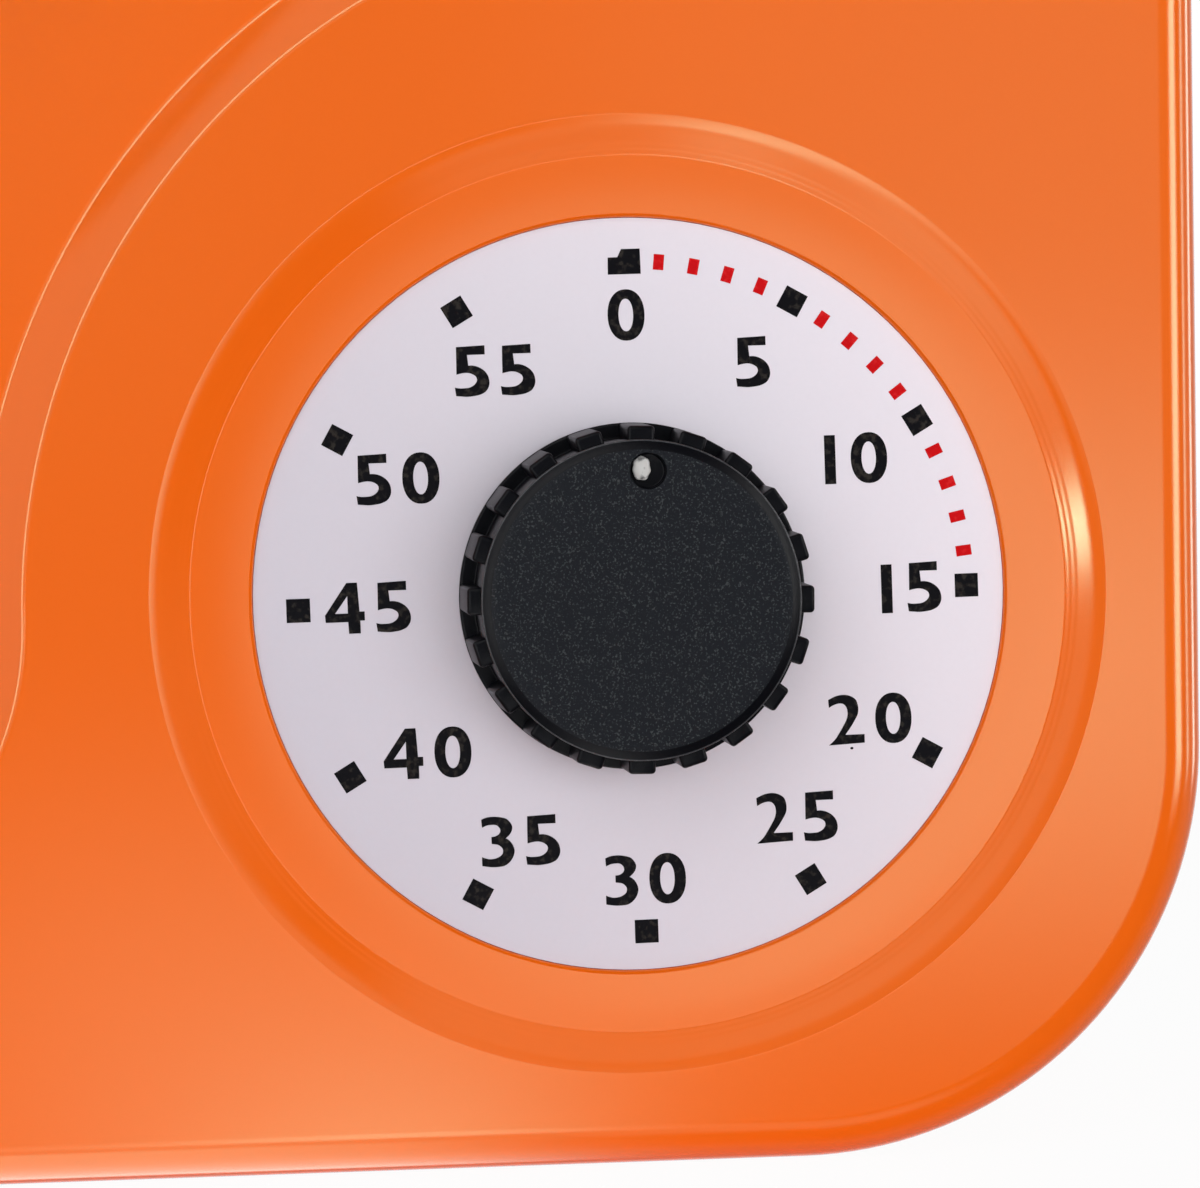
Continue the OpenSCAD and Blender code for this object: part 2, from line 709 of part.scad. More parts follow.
// Balance wheel, its staff and the lever with two pins that catch the escape wheel
module balance() {
    pins = [for (s = [-1, 1]) polar(pin_path, balance_way + s * pin_turn) + escape_at - balance_at];
    rim_r = 6.4;
    color("#c9a24a") at_timer() translate(balance_at) {
        slab(balance_level, balance_level + 0.8) {
            difference() {
                circle(rim_r);
                circle(rim_r - 1.4);
            }
            rotate(balance_way) square([2 * rim_r - 1, 1.2], center = true);
            circle(pivot_r + 0.8);
        }
        slab(escape_level + 1.1, balance_level) for (p = pins) rotate(atan2(p.y, p.x))
            translate([0, -0.5]) square([norm(p), 1]);
        for (p = pins) translate(p) disc(pin_r, escape_level - 0.2, escape_level + 1.5);
        disc(pivot_r, back_plate_low - 0.3, front_plate_top - 0.2);
    }
}
module bell() {
    color("gainsboro") at_timer() translate(bell_shift) rotate_extrude() difference() {
        translate([0, bell_mouth - bell_h]) union() {
            translate([0, bell_h / 2]) square([bell_r, bell_h / 2]);
            square([bell_r - bell_h / 2, bell_h / 2]);
            translate([bell_r - bell_h / 2, bell_h / 2]) intersection() {
                circle(bell_h / 2);
                translate([0, -bell_h]) square(bell_h);
            }
        }
        translate([0, bell_mouth - bell_h]) union() {
            translate([0, bell_h / 2]) square([bell_r - bell_t, bell_h]);
            translate([0, bell_t]) square([bell_r - bell_h / 2, bell_h]);
            translate([bell_r - bell_h / 2, bell_h / 2]) circle(bell_h / 2 - bell_t);
        }
        translate([-1, bell_mouth - 2 * bell_h]) square([1 + post_r - 0.8, 3 * bell_h]);
    }
}
module bell_post() {
    color("silver") at_timer() translate(bell_shift) {
        disc(post_r, bell_mouth - bell_h + bell_t, back_plate_low);
        disc(post_r - 0.8, bell_mouth - bell_h - 1, gap_low + 0.4);
        disc(post_r + 0.6, bell_mouth - bell_h - 1, bell_mouth - bell_h);
    }
}
// Striker on its stud behind the back plate, with its head inside the bell
module hammer() {
    head = bell_shift + polar(bell_r - bell_t - 2.6, 0) - hammer_shift;
    color("silver") at_timer() translate(hammer_shift) {
        slab(back_plate_low - 2, back_plate_low - 0.8) {
            circle(2.2);
            rotate(atan2(head.y, head.x)) translate([0, -0.9]) square([norm(head), 1.8]);
            translate(head) circle(1.6);
        }
        translate(head) disc(1.6, bell_mouth - 3.5, back_plate_low - 0.8);
        disc(pivot_r - run, back_plate_low - 0.8, gap_low);
    }
}

// ---- Clock ----
module clock_dial() {
    color("white") at_clock() slab(panel, dial_top) difference() {
        circle(clock_dial_r);
        circle(quartz_bush_r + fit);
    }
}
module clock_lens() {
    dome_rise = 3;
    dome_r = (pow(lens_r, 2) + pow(dome_rise, 2)) / (2 * dome_rise);
    centre = panel + lens_h - lens_wall + dome_rise - dome_r;
    color("lightcyan", 0.35) at_clock() {
        rotate_extrude() {
            translate([lens_r - lens_wall, panel]) square([lens_wall, lens_h - lens_wall / 2]);
            intersection() {
                difference() {
                    translate([0, centre]) circle(dome_r + lens_wall, $fn = 720);
                    translate([0, centre]) circle(dome_r, $fn = 720);
                }
                translate([0, panel]) square([lens_r, lens_h + 2 * dome_rise]);
            }
        }
        for (a = lens_pin_angles) translate(polar(lens_r - lens_wall / 2, a))
            disc(lens_pin_r, panel - sheet_t - 1, panel + 0.5);
    }
}
module quartz_movement() {
    color("#303236") at_clock() difference() {
        union() {
            slab(quartz_low, quartz_top) rounded_rect(quartz_w, quartz_w, quartz_corner);
            disc(quartz_bush_r, quartz_top, dial_top + quartz_nut_t + 0.3);
        }
        disc(hour_pipe_r + run, quartz_top - hands_bore, dial_top + quartz_nut_t + 2);
        translate([-bay_len / 2, -bay_drop - bay_h / 2, quartz_low - 1]) cube([bay_len, bay_h, quartz_d]);
        translate([0, setting_up, 0])
            disc(setting_stem_r + run, quartz_low - 1, quartz_low + setting_stem_h + 0.2);
    }
}
module quartz_nut() {
    color("gold") at_clock() slab(dial_top, dial_top + quartz_nut_t) difference() {
        circle(quartz_nut_r, $fn = 6);
        circle(quartz_bush_r + run);
    }
}
module hour_pipe() {
    color("white") at_clock() difference() {
        disc(hour_pipe_r, hour_pipe_low, hour_low + hour_t);
        disc(minute_arbor_r + run, hour_pipe_low - 1, hour_low + hour_t + 1);
    }
}
// Tapered hand with a round boss, pointing straight up
module hand(length, width, tail, boss, bore, low, high) {
    slab(low, high) difference() {
        union() {
            circle(boss);
            polygon([[-width * 0.35, -tail], [width * 0.35, -tail], [width / 2, length * 0.75],
                [0, length], [-width / 2, length * 0.75]]);
        }
        circle(bore);
    }
}
module hour_hand() {
    color("#1a1a1c") at_clock() rotate(-305)
        hand(hour_len, hour_w, hour_tail, hour_boss, hour_pipe_r, hour_low, hour_low + hour_t);
}
module minute_arbor() {
    color("gold") at_clock() difference() {
        disc(minute_arbor_r, minute_arbor_low, minute_low + minute_t);
        disc(second_arbor_r + run, minute_arbor_low - 1, minute_low + minute_t + 1);
    }
}
module minute_hand() {
    color("#1a1a1c") at_clock() rotate(-60)
        hand(minute_len, minute_w, minute_tail, minute_boss, minute_arbor_r,
            minute_low, minute_low + minute_t);
}
module second_arbor() {
    color("silver") at_clock() disc(second_arbor_r, second_arbor_low, second_low + second_t);
}
module second_hand() {
    color("red") at_clock() rotate(-210) union() {
        hand(second_len, second_w, second_tail, second_boss, second_arbor_r,
            second_low, second_low + second_t);
        disc(second_cap_r, second_low + second_t, second_low + second_t + second_cap_h);
    }
}
module setting_wheel() {
    color("#303236") at_clock() translate([0, setting_up, 0]) {
        slab(quartz_low - setting_t - setting_gap, quartz_low - setting_gap) difference() {
            circle(setting_r);
            for (a = [0:20:340]) rotate(a) translate([setting_r + 0.2, 0]) circle(setting_notch_r);
        }
        disc(setting_stem_r, quartz_low - setting_gap, quartz_low + setting_stem_h);
    }
}
// One AA cell lying across the movement
module battery() {
    color("#3a6ea5") at_clock() translate([-battery_len / 2 - 0.5, -bay_drop, quartz_low + battery_r])
        rotate([0, 90, 0]) {
            cylinder(r = battery_r, h = battery_len);
            translate([0, 0, battery_len]) cylinder(r = cell_knob_r, h = cell_knob_h);
        }
}
module battery_contacts() {
    color("silver") at_clock() for (x = [-1, 1])
        translate([x * (bay_len - contact_t) / 2, -bay_drop, quartz_low + battery_r])
            cube([contact_t, contact_w, contact_h], center = true);
}

front_case();
cover_lugs();
back_cover();
cover_screws();
timer_dial();
timer_knob();
timer_nut();
timer_washer();
timer_front_plate();
timer_back_plate();
timer_pillars();
timer_arbor();
main_wheel();
mainspring();
second_wheel();
third_wheel();
escape_wheel();
balance();
bell();
bell_post();
hammer();
clock_dial();
clock_lens();
quartz_movement();
quartz_nut();
hour_pipe();
hour_hand();
minute_arbor();
minute_hand();
second_arbor();
second_hand();
setting_wheel();
battery();
battery_contacts();
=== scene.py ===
import math

import bmesh
import bpy
from mathutils import Matrix, Vector
from mathutils.geometry import tessellate_polygon

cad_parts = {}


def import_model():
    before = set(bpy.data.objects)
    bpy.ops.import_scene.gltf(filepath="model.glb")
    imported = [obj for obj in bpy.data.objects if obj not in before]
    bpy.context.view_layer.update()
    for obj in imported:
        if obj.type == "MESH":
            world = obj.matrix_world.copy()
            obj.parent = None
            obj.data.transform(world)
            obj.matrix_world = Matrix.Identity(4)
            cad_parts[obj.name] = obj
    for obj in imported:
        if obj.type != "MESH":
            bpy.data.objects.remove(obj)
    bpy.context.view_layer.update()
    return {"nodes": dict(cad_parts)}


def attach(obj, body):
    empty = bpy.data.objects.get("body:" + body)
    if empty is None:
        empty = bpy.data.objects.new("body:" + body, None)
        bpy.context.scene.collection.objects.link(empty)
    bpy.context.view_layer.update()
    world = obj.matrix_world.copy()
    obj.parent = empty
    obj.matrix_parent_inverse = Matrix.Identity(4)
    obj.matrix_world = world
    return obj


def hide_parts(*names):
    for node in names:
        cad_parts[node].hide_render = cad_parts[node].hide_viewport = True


# Kitchen clock with a wind-up countdown timer. The frame's solids get their materials here, the
# pressed case and the timer's knob are remade as finer meshes, and both dials get their print.

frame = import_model()

# ---- Sizes, in millimetres and degrees. Front views are drawn about the middle of the case: x to
# the right, y up, z towards the viewer. ----
MM = 0.001
CASE_W = CASE_H = 240.0
CASE_D = 50.0
CORNER_R = 34.5
EDGE_R = 4.0
SHEET = 1.0
BORDER = 22.0
PANEL_DEPTH = 2.5
STEP_W = 4.2
STEP_BEND = 1.2
BITE_R = 60.5
BITE_SHIFT = 8.4
TURN_R = 25.0
TIMER_FROM_RIGHT = 48.6
TIMER_FROM_FOOT = 48.1
TIMER = (CASE_W / 2 - TIMER_FROM_RIGHT, TIMER_FROM_FOOT - CASE_H / 2)
DISH_R = 39.85
DISH_DEPTH = 1.3
# How steep the dish is at each distance out from the rim of the dial's seat, with fine draw marks
# in its slope
DISH_TILTS = [
    (0.0, 2.4), (1.5, 2.0), (3.8, 0.9), (4.80, 0.7), (4.86, 17.0), (5.1, 21.0), (5.3, 16.0),
    (5.5, 21.0), (5.75, 17.0), (6.0, 21.0), (6.7, 21.0), (7.1, 18.0), (7.6, 13.0), (8.06, 10.0),
    (8.12, 0.0),
]
SEAT_DEPTH = 0.9
SEAT_PLAY = 0.04
SEAT_LIP_R = 0.4
SEAT_HOLE_R = 5.1
DIAL_R = 31.4
DIAL_T = 0.5
FRONT = CASE_D / 2
PANEL = FRONT - PANEL_DEPTH
SEAT = FRONT - DISH_DEPTH - SEAT_DEPTH
DIAL_TOP = SEAT + DIAL_T
KNOB_GAP = 0.4
KNOB_H = 10.5
KNOB_LOW = DIAL_TOP + KNOB_GAP
KNOB_TOP = KNOB_LOW + KNOB_H
KNOB_FOOT_R = 14.4
KNOB_FOOT_H = 1.2
KNOB_CAP_R = 12.9
KNOB_WALL = 1.8
CAP_SHOULDER = 1.3
CAP_DROP = 0.5
CAP_EDGE_R = 0.12
RIBS = 20
RIB_TURN = 2.6
POINTER_AT = 10.4
POINTER_TURN = -3.4
POINTER_DEPTH = 1.0
PRINT_SHIFT = (0.31, -0.20)
PRINT_TURN = 0.97
INK_T = 0.025
LENS_R = 64.5
LENS_GAP = 8.0
PANEL_W = CASE_W - 2 * BORDER
PANEL_R = CORNER_R - BORDER
CLOCK = (LENS_R + LENS_GAP - PANEL_W / 2, PANEL_W / 2 - LENS_GAP - LENS_R)
CLOCK_TOP = PANEL + DIAL_T
CLOCK_HOLE_R = 4.1
CLOCK_FLAT_R = 6.0
# Into how many parts round shapes are divided
DISH_PARTS = 256
HOLE_PARTS = 96
KNOB_PARTS = 192
DRILL_PARTS = 64


def laid(x, y, z):
    """A point of a front view, in the frame's own axes and metres."""
    return Vector((x * MM, -z * MM, (y + CASE_H / 2) * MM))


def upright(at, z=0.0, turn=0.0):
    """Lays a flat drawing in millimetres upright at a place of the front view."""
    m = Matrix(((MM, 0, 0, 0), (0, 0, -MM, 0), (0, MM, 0, CASE_H / 2 * MM), (0, 0, 0, 1)))
    turned_by = Matrix.Rotation(math.radians(turn), 4, "Z")
    return m @ Matrix.Translation((at[0], at[1], z)) @ turned_by


# ---- Shader kit ----
class Net:
    """Adds and links nodes of one tree."""

    def __init__(self, tree):
        self.tree = tree

    def put(self, value, socket):
        """Links another node's socket, or sets a plain value."""
        if isinstance(value, bpy.types.NodeSocket):
            self.tree.links.new(value, socket)
        else:
            socket.default_value = value

    def __call__(self, kind, out=0, **given):
        node = self.tree.nodes.new(kind)
        for k, v in given.pop("set", {}).items():
            setattr(node, k, v)
        for name, value in given.items():
            by_number = name.startswith("in") and name[2:].isdigit()
            self.put(value, node.inputs[int(name[2:]) if by_number else name.replace("_", " ")])
        return node.outputs[out] if len(node.outputs) else node

    def math(self, how, a, b=0.0, c=None):
        given = {"in0": a, "in1": b}
        if c is not None:
            given["in2"] = c
        return self("ShaderNodeMath", set={"operation": how}, **given)

    def ramp(self, value, low, high, to_low=0.0, to_high=1.0, kind="LINEAR"):
        return self("ShaderNodeMapRange", set={"interpolation_type": kind}, Value=value,
                    From_Min=low, From_Max=high, To_Min=to_low, To_Max=to_high)

    def mix(self, how_much, a, b):
        return self("ShaderNodeMix", out=2, set={"data_type": "RGBA"}, in0=how_much, in6=a, in7=b)


def shader_group(name, inputs, outputs):
    """A group of shader nodes with its net, its inputs and what its outputs take. An input is
    a number, or a vector where it has no value."""
    tree = bpy.data.node_groups.new(name, "ShaderNodeTree")
    for label, value in inputs.items():
        kind = "NodeSocketVector" if value is None else "NodeSocketFloat"
        socket = tree.interface.new_socket(label, in_out="INPUT", socket_type=kind)
        if value is not None:
            socket.default_value = value
    for label in outputs:
        tree.interface.new_socket(label, in_out="OUTPUT", socket_type="NodeSocketFloat")
    got = tree.nodes.new("NodeGroupInput").outputs
    return tree, Net(tree), got, tree.nodes.new("NodeGroupOutput").inputs


def noise(net, vector, scale, detail, **given):
    return net("ShaderNodeTexNoise", Vector=vector, Scale=scale, Detail=detail, **given)


def spark_grain():
    """Grain of a spark-eroded mould: a height, and a mask of the few facets that catch light."""
    tree, net, got, put = shader_group(
        "spark_grain", {"Vector": None, "Grain": 4000.0, "Facets": 0.62}, ("Height", "Facet mask"))
    vector, grain = got["Vector"], got["Grain"]
    fine = noise(net, vector, grain, 3.0, Roughness=0.6)
    coarse = net("ShaderNodeTexVoronoi", Vector=vector, Scale=net.math("MULTIPLY", grain, 0.8))
    net.put(net.math("ADD", fine, net.math("MULTIPLY", coarse, 0.5)), put["Height"])
    spots = noise(net, vector, net.math("MULTIPLY", grain, 1.25), 2.0)
    high = net.math("ADD", got["Facets"], 0.16)
    net.put(net.ramp(spots, got["Facets"], high), put["Facet mask"])
    return tree


def orange_peel():
    """Gentle waves of a sprayed coat, with finer ripples on them."""
    tree, net, got, put = shader_group(
        "orange_peel", {"Vector": None, "Waves": 420.0, "Ripple": 0.25}, ("Height", "Cloud"))
    vector, scale = got["Vector"], got["Waves"]
    waves = noise(net, vector, scale, 1.0)
    ripple = noise(net, vector, net.math("MULTIPLY", scale, 5.0), 2.0)
    net.put(net.math("ADD", waves, net.math("MULTIPLY", ripple, got["Ripple"])), put["Height"])
    net.put(noise(net, vector, net.math("MULTIPLY", scale, 0.08), 3.0), put["Cloud"])
    return tree


def brushed():
    """Fine parallel marks of rolling and brushing along the object's X."""
    tree, net, got, put = shader_group(
        "brushed_marks", {"Vector": None, "Marks": 3000.0}, ("Height", "Stain"))
    long = net("ShaderNodeMapping", Vector=got["Vector"], Scale=(0.05, 1.0, 1.0))
    net.put(noise(net, long, got["Marks"], 3.0), put["Height"])
    stain = noise(net, got["Vector"], net.math("MULTIPLY", got["Marks"], 0.05), 4.0)
    net.put(stain, put["Stain"])
    return tree


GRAIN, PEEL, BRUSHED = spark_grain(), orange_peel(), brushed()


def new_material(name):
    """A material with its net and its shader."""
    made = bpy.data.materials.new(name)
    made.use_nodes = True
    return made, Net(made.node_tree), made.node_tree.nodes["Principled BSDF"]


def settle(net, shader, **values):
    """Sets or links inputs of a shader."""
    for name, value in values.items():
        net.put(value, shader.inputs[name.replace("_", " ")])


def from_group(net, tree, **given):
    """What a group of nodes gives at the object's own coordinates."""
    node = net.tree.nodes.new("ShaderNodeGroup")
    node.node_tree = tree
    net.put(net("ShaderNodeTexCoord", out=3), node.inputs["Vector"])
    for name, value in given.items():
        node.inputs[name.replace("_", " ")].default_value = value
    return node.outputs


def bump(net, height, lift, strength=1.0):
    return net("ShaderNodeBump", Height=height, Distance=lift, Strength=strength)


def dimmed(colour, share):
    """The colour at a share of its level."""
    return [c * share for c in colour[:3]] + [1.0]


def sprayed_paint(name, colour, rough, waves, lift, tint=(1, 1, 1, 1)):
    made, net, shader = new_material(name)
    peel = from_group(net, PEEL, Waves=waves)
    settle(net, shader, Base_Color=net.mix(peel["Cloud"], dimmed(colour, 0.985), colour),
           Roughness=net.ramp(peel["Cloud"], 0.2, 0.8, rough - 0.005, rough + 0.005),
           Normal=bump(net, peel["Height"], lift), Specular_Tint=tint)
    return made


def grained_plastic(name, colour, glint_tone, grain, facets, rough, lift, gloss=0.5):
    """Moulded plastic of one colour, with a lighter colour painted on the light-catching facets of
    its grain: painted glints.
    """
    made, net, shader = new_material(name)
    marks = from_group(net, GRAIN, Grain=grain, Facets=facets)
    settle(net, shader, Base_Color=net.mix(marks["Facet mask"], colour, glint_tone),
           Roughness=net.ramp(marks["Facet mask"], 0.0, 1.0, rough, rough - 0.12),
           Normal=bump(net, marks["Height"], lift), Specular_IOR_Level=gloss)
    return made


def brushed_metal(name, colour, rough, marks, lift, stained=0.85):
    """Metal with fine marks; stained says how much of its colour is left where it is dull."""
    made, net, shader = new_material(name)
    got = from_group(net, BRUSHED, Marks=marks)
    settle(net, shader, Base_Color=net.mix(got["Stain"], dimmed(colour, stained), colour),
           Roughness=net.ramp(got["Stain"], 0.2, 0.8, rough + 0.08, rough - 0.04),
           Normal=bump(net, got["Height"], lift), Metallic=1.0)
    return made


def printed_card(name, colour, painted_shade=None, at=(0.0, 0.0), reach=0.031):
    """White coated sheet with a very fine tooth. It may carry painted shade towards its lower
    left, as if less light reached that side: at is its middle in the frame and reach how far the
    change goes, in metres."""
    made, net, shader = new_material(name)
    tooth = from_group(net, GRAIN, Grain=2600.0, Facets=0.5)["Height"]
    cloud = from_group(net, PEEL, Waves=500.0)["Cloud"]
    tone = colour
    # Painted shade: the card darkens from its upper right to its lower left, standing in for light
    # that falls off across it
    if painted_shade:
        right, up = 0.85, 0.5
        place = net("ShaderNodeSeparateXYZ", Vector=net("ShaderNodeTexCoord", out=3)).node.outputs
        along = net.math("MULTIPLY_ADD", place[0], right, net.math("MULTIPLY", place[2], up))
        middle = right * at[0] + up * at[1]
        tone = net.mix(net.ramp(along, middle - reach, middle + reach), painted_shade, colour)
    shade = net.math("MULTIPLY_ADD", tooth, 0.5, net.math("MULTIPLY", cloud, 0.5))
    speck = net("ShaderNodeHueSaturation", Value=net.ramp(shade, 0.0, 1.0, 0.965, 1.0), Color=tone)
    settle(net, shader, Base_Color=speck, Roughness=0.36, Normal=bump(net, tooth, 4e-6),
           Specular_IOR_Level=0.4)
    return made


def printing_ink(name, colour, thin, rough):
    """Screen-printed ink, thinner in small spots."""
    made, net, shader = new_material(name)
    got = from_group(net, GRAIN, Grain=1500.0, Facets=0.52)
    settle(net, shader, Base_Color=net.mix(got["Facet mask"], colour, thin), Roughness=rough,
           Normal=bump(net, got["Height"], 3e-5), Specular_IOR_Level=0.05)
    return made


def clear_plastic(name):
    made, net, shader = new_material(name)
    peel = from_group(net, PEEL, Waves=60.0)
    settle(net, shader, Base_Color=(0.97, 0.985, 0.99, 1), Roughness=0.03, IOR=1.49,
           Transmission_Weight=1.0, Normal=bump(net, peel["Height"], 1e-5, 0.3))
    return made


PAINT = sprayed_paint("orange_paint", (0.84, 0.127, 0.0032, 1), rough=0.15, waves=420.0,
                      lift=2e-6, tint=(0.3, 1.0, 0.64, 1))
HAND_BLACK = sprayed_paint("hand_black_paint", (0.012, 0.012, 0.013, 1), rough=0.32, waves=900.0,
                           lift=4e-6)
HAND_RED = sprayed_paint("hand_red_paint", (0.55, 0.012, 0.014, 1), rough=0.30, waves=900.0,
                         lift=4e-6)
# The second colour of each grained plastic is a painted glint on the light-catching facets of its
# grain
KNOB_GRAIN = grained_plastic("knob_cap_grain", (0.003, 0.0038, 0.0056, 1), (0.04, 0.045, 0.047, 1),
                             grain=4600.0, facets=0.56, rough=0.55, lift=6e-5, gloss=0.1)
KNOB_SMOOTH = grained_plastic("knob_side", (0.0016, 0.0018, 0.0028, 1), (0.006, 0.006, 0.007, 1),
                              grain=3000.0, facets=0.62, rough=0.34, lift=1.2e-5, gloss=0.06)
# The rounded rim of the knob's cap takes a lighter grey: a painted highlight along its edge
KNOB_RIM_HIGHLIGHT = grained_plastic("knob_worn_edge", (0.03, 0.032, 0.036, 1), (0.06, 0.062, 0.066, 1),
                            grain=3000.0, facets=0.55, rough=0.45, lift=1.2e-5, gloss=0.2)
COVER = grained_plastic("cover_grain", (0.02, 0.02, 0.021, 1), (0.06, 0.06, 0.062, 1),
                        grain=1500.0, facets=0.58, rough=0.5, lift=7e-5)
MOVEMENT = grained_plastic("movement_moulding", (0.018, 0.019, 0.021, 1), (0.05, 0.05, 0.055, 1),
                           grain=2200.0, facets=0.6, rough=0.42, lift=3e-5)
WHITE_PLASTIC = grained_plastic("white_moulding", (0.72, 0.72, 0.7, 1), (0.8, 0.8, 0.78, 1),
                                grain=3000.0, facets=0.6, rough=0.35, lift=8e-6)
CELL = grained_plastic("cell_wrap", (0.02, 0.07, 0.2, 1), (0.05, 0.12, 0.28, 1),
                       grain=900.0, facets=0.64, rough=0.25, lift=5e-6)
CARD = printed_card("dial_card", (0.74, 0.69, 0.74, 1))
# The timer's card has painted shade towards its lower left
SHADED_CARD = printed_card("timer_dial_card", (0.79, 0.74, 0.81, 1),
                            painted_shade=(0.55, 0.535, 0.61, 1), at=(0.0714, 0.0481))
INK = printing_ink("black_ink", (0.002, 0.002, 0.003, 1), (0.022, 0.019, 0.017, 1), 0.4)
INK_RED = printing_ink("red_ink", (0.55, 0.002, 0.004, 1), (0.62, 0.012, 0.014, 1), 0.34)
POINTER = printing_ink("pointer_paint", (0.55, 0.55, 0.54, 1), (0.16, 0.16, 0.16, 1), 0.4)
STEEL = brushed_metal("zinc_plated_steel", (0.62, 0.62, 0.63, 1), 0.3, 3200.0, 4e-6)
PLATE = brushed_metal("rolled_steel_plate", (0.5, 0.5, 0.51, 1), 0.38, 2400.0, 6e-6)
SPRING = brushed_metal("blued_spring_steel", (0.1, 0.14, 0.22, 1), 0.3, 4000.0, 3e-6)
BRASS = brushed_metal("stamped_brass", (0.68, 0.47, 0.16, 1), 0.3, 3600.0, 4e-6)
BELL = brushed_metal("bright_bell_steel", (0.72, 0.72, 0.74, 1), 0.14, 2600.0, 2e-6, 0.94)
LENS = clear_plastic("clear_lens")

for material, nodes in (
    (STEEL, "cover_lugs cover_screws timer_nut timer_washer timer_pillars timer_arbor bell_post"
            " hammer second_arbor battery_contacts"),
    (PLATE, "timer_front_plate timer_back_plate"), (SPRING, "mainspring"), (BELL, "bell"),
    (BRASS, "main_wheel second_wheel third_wheel escape_wheel balance quartz_nut minute_arbor"),
    (COVER, "back_cover"), (MOVEMENT, "quartz_movement setting_wheel"), (CELL, "battery"),
    (WHITE_PLASTIC, "hour_pipe"), (LENS, "clock_lens"), (CARD, "clock_dial"),
    (SHADED_CARD, "timer_dial"), (HAND_BLACK, "hour_hand minute_hand"),
    (HAND_RED, "second_hand"),
):
    for node in nodes.split():
        for slot in frame["nodes"][node].material_slots:
            slot.material = material


# ---- Mesh kit ----
def in_scene(name, mesh):
    made = bpy.data.objects.new(name, mesh)
    bpy.context.scene.collection.objects.link(made)
    return made


def smoothed(mesh, sharp):
    """Smooth shading with an edge wherever faces meet at more than so many degrees."""
    mesh.shade_smooth()
    mesh.set_sharp_from_angle(angle=math.radians(sharp))


def piece(name, mesh, material, body, sharp=32.0):
    """Makes a finished piece of a mesh that is already in the frame, and lets it ride on a body."""
    made = in_scene(name, mesh)
    mesh.materials.clear()
    mesh.materials.append(material)
    smoothed(mesh, sharp)
    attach(made, body)
    return made


def applied(obj):
    """Turns what an object's modifiers make into its plain mesh."""
    bpy.context.view_layer.update()
    graph = bpy.context.evaluated_depsgraph_get()
    mesh = bpy.data.meshes.new_from_object(obj.evaluated_get(graph), depsgraph=graph)
    obj.modifiers.clear()
    obj.data = mesh
    return mesh


def to_mesh(bm, name):
    mesh = bpy.data.meshes.new(name)
    bm.to_mesh(mesh)
    bm.free()
    return mesh


def arc(centre, r, start, end, steps, bulge=1):
    """Points of an arc with their normals, away from the centre, or towards it if bulge is -1."""
    made = []
    for i in range(steps + 1):
        a = math.radians(start + (end - start) * i / steps)
        c, s = math.cos(a), math.sin(a)
        made.append((centre[0] + r * c, centre[1] + r * s, bulge * c, bulge * s))
    return made


def rounded_path(w, h, r, steps):
    """Outline of a rectangle with rounded corners, as points and normals."""
    x, y = w / 2 - r, h / 2 - r
    return (arc((x, y), r, 0, 90, steps) + arc((-x, y), r, 90, 180, steps)
            + arc((-x, -y), r, 180, 270, steps) + arc((x, -y), r, 270, 360, steps))


def bend(at, z, r, start, end, steps):
    """Arc of a section, from one angle in degrees to another."""
    angles = [math.radians(start + (end - start) * i / steps) for i in range(steps + 1)]
    return [(at + r * math.cos(a), z + r * math.sin(a)) for a in angles]


def sloped_step(half, low, high, r):
    """Section of a sloped step between two levels, with a bend at its foot and at its head."""
    margin = 0.6
    slope = math.degrees(math.atan2(high - low, 2 * half))
    ease = r * math.tan(math.radians(slope / 2))
    return ([(-half - ease - margin, low)] + bend(-half - ease, low + r, r, -90, -90 + slope, 12)
            + bend(half + ease, high - r, r, 90 + slope, 90, 12) + [(half + ease + margin, high)])


def rising(tilts, end, high, spacing=0.06):
    """Section that rises to a level at its outer end, from how steep it is, in degrees, at each
    distance from its start."""
    points, z = [(0.0, 0.0)], 0.0
    for (a, tilt_a), (b, tilt_b) in zip(tilts, tilts[1:]):
        steps = max(1, round((b - a) / spacing)) if tilt_a != tilt_b else 1
        for k in range(steps):
            tilt = tilt_a + (tilt_b - tilt_a) * (k + 0.5) / steps
            z += math.tan(math.radians(tilt)) * (b - a) / steps
            points.append((a + (b - a) * (k + 1) / steps, z))
    return [(end - tilts[-1][0] + s, high - z + h) for s, h in points]


def sweep(bm, path, section):
    """Strip of faces that carries a section of (offset, height) round a path of points and
    normals. It gives back the rows of vertices, one along each point of the section."""
    rows = [[bm.verts.new(laid(x + nx * s, y + ny * s, z)) for s, z in section]
            for x, y, nx, ny in path]
    for a, b in zip(rows, rows[1:] + rows[:1]):
        for k in range(len(section) - 1):
            bm.faces.new((a[k], b[k], b[k + 1], a[k + 1]))
    return [list(row) for row in zip(*rows)]


def true_flats(mesh):
    """Gives every corner on the rim of a flat the flat's own normal, so that no flat looks
    bulged."""
    level, near = 0.99995, 0.85
    smoothed(mesh, 32)
    flat = {}
    for face in mesh.polygons:
        if abs(face.normal.y) > level:
            for v in face.vertices:
                flat[v] = face.normal.copy()
    normals = [n.vector.copy() for n in mesh.corner_normals]
    for face in mesh.polygons:
        for k in face.loop_indices:
            own = flat.get(mesh.loops[k].vertex_index)
            if own is not None and own.dot(face.normal) > near:
                normals[k] = own
    mesh.normals_split_custom_set(normals)


def level_fill(bm, *loops):
    """Fills the flat between closed rows of vertices."""
    edges = []
    for loop in loops:
        for a, b in zip(loop, loop[1:] + loop[:1]):
            edges.append(bm.edges.get((a, b)) or bm.edges.new((a, b)))
    bmesh.ops.triangle_fill(bm, use_beauty=True, use_dissolve=False, edges=edges)


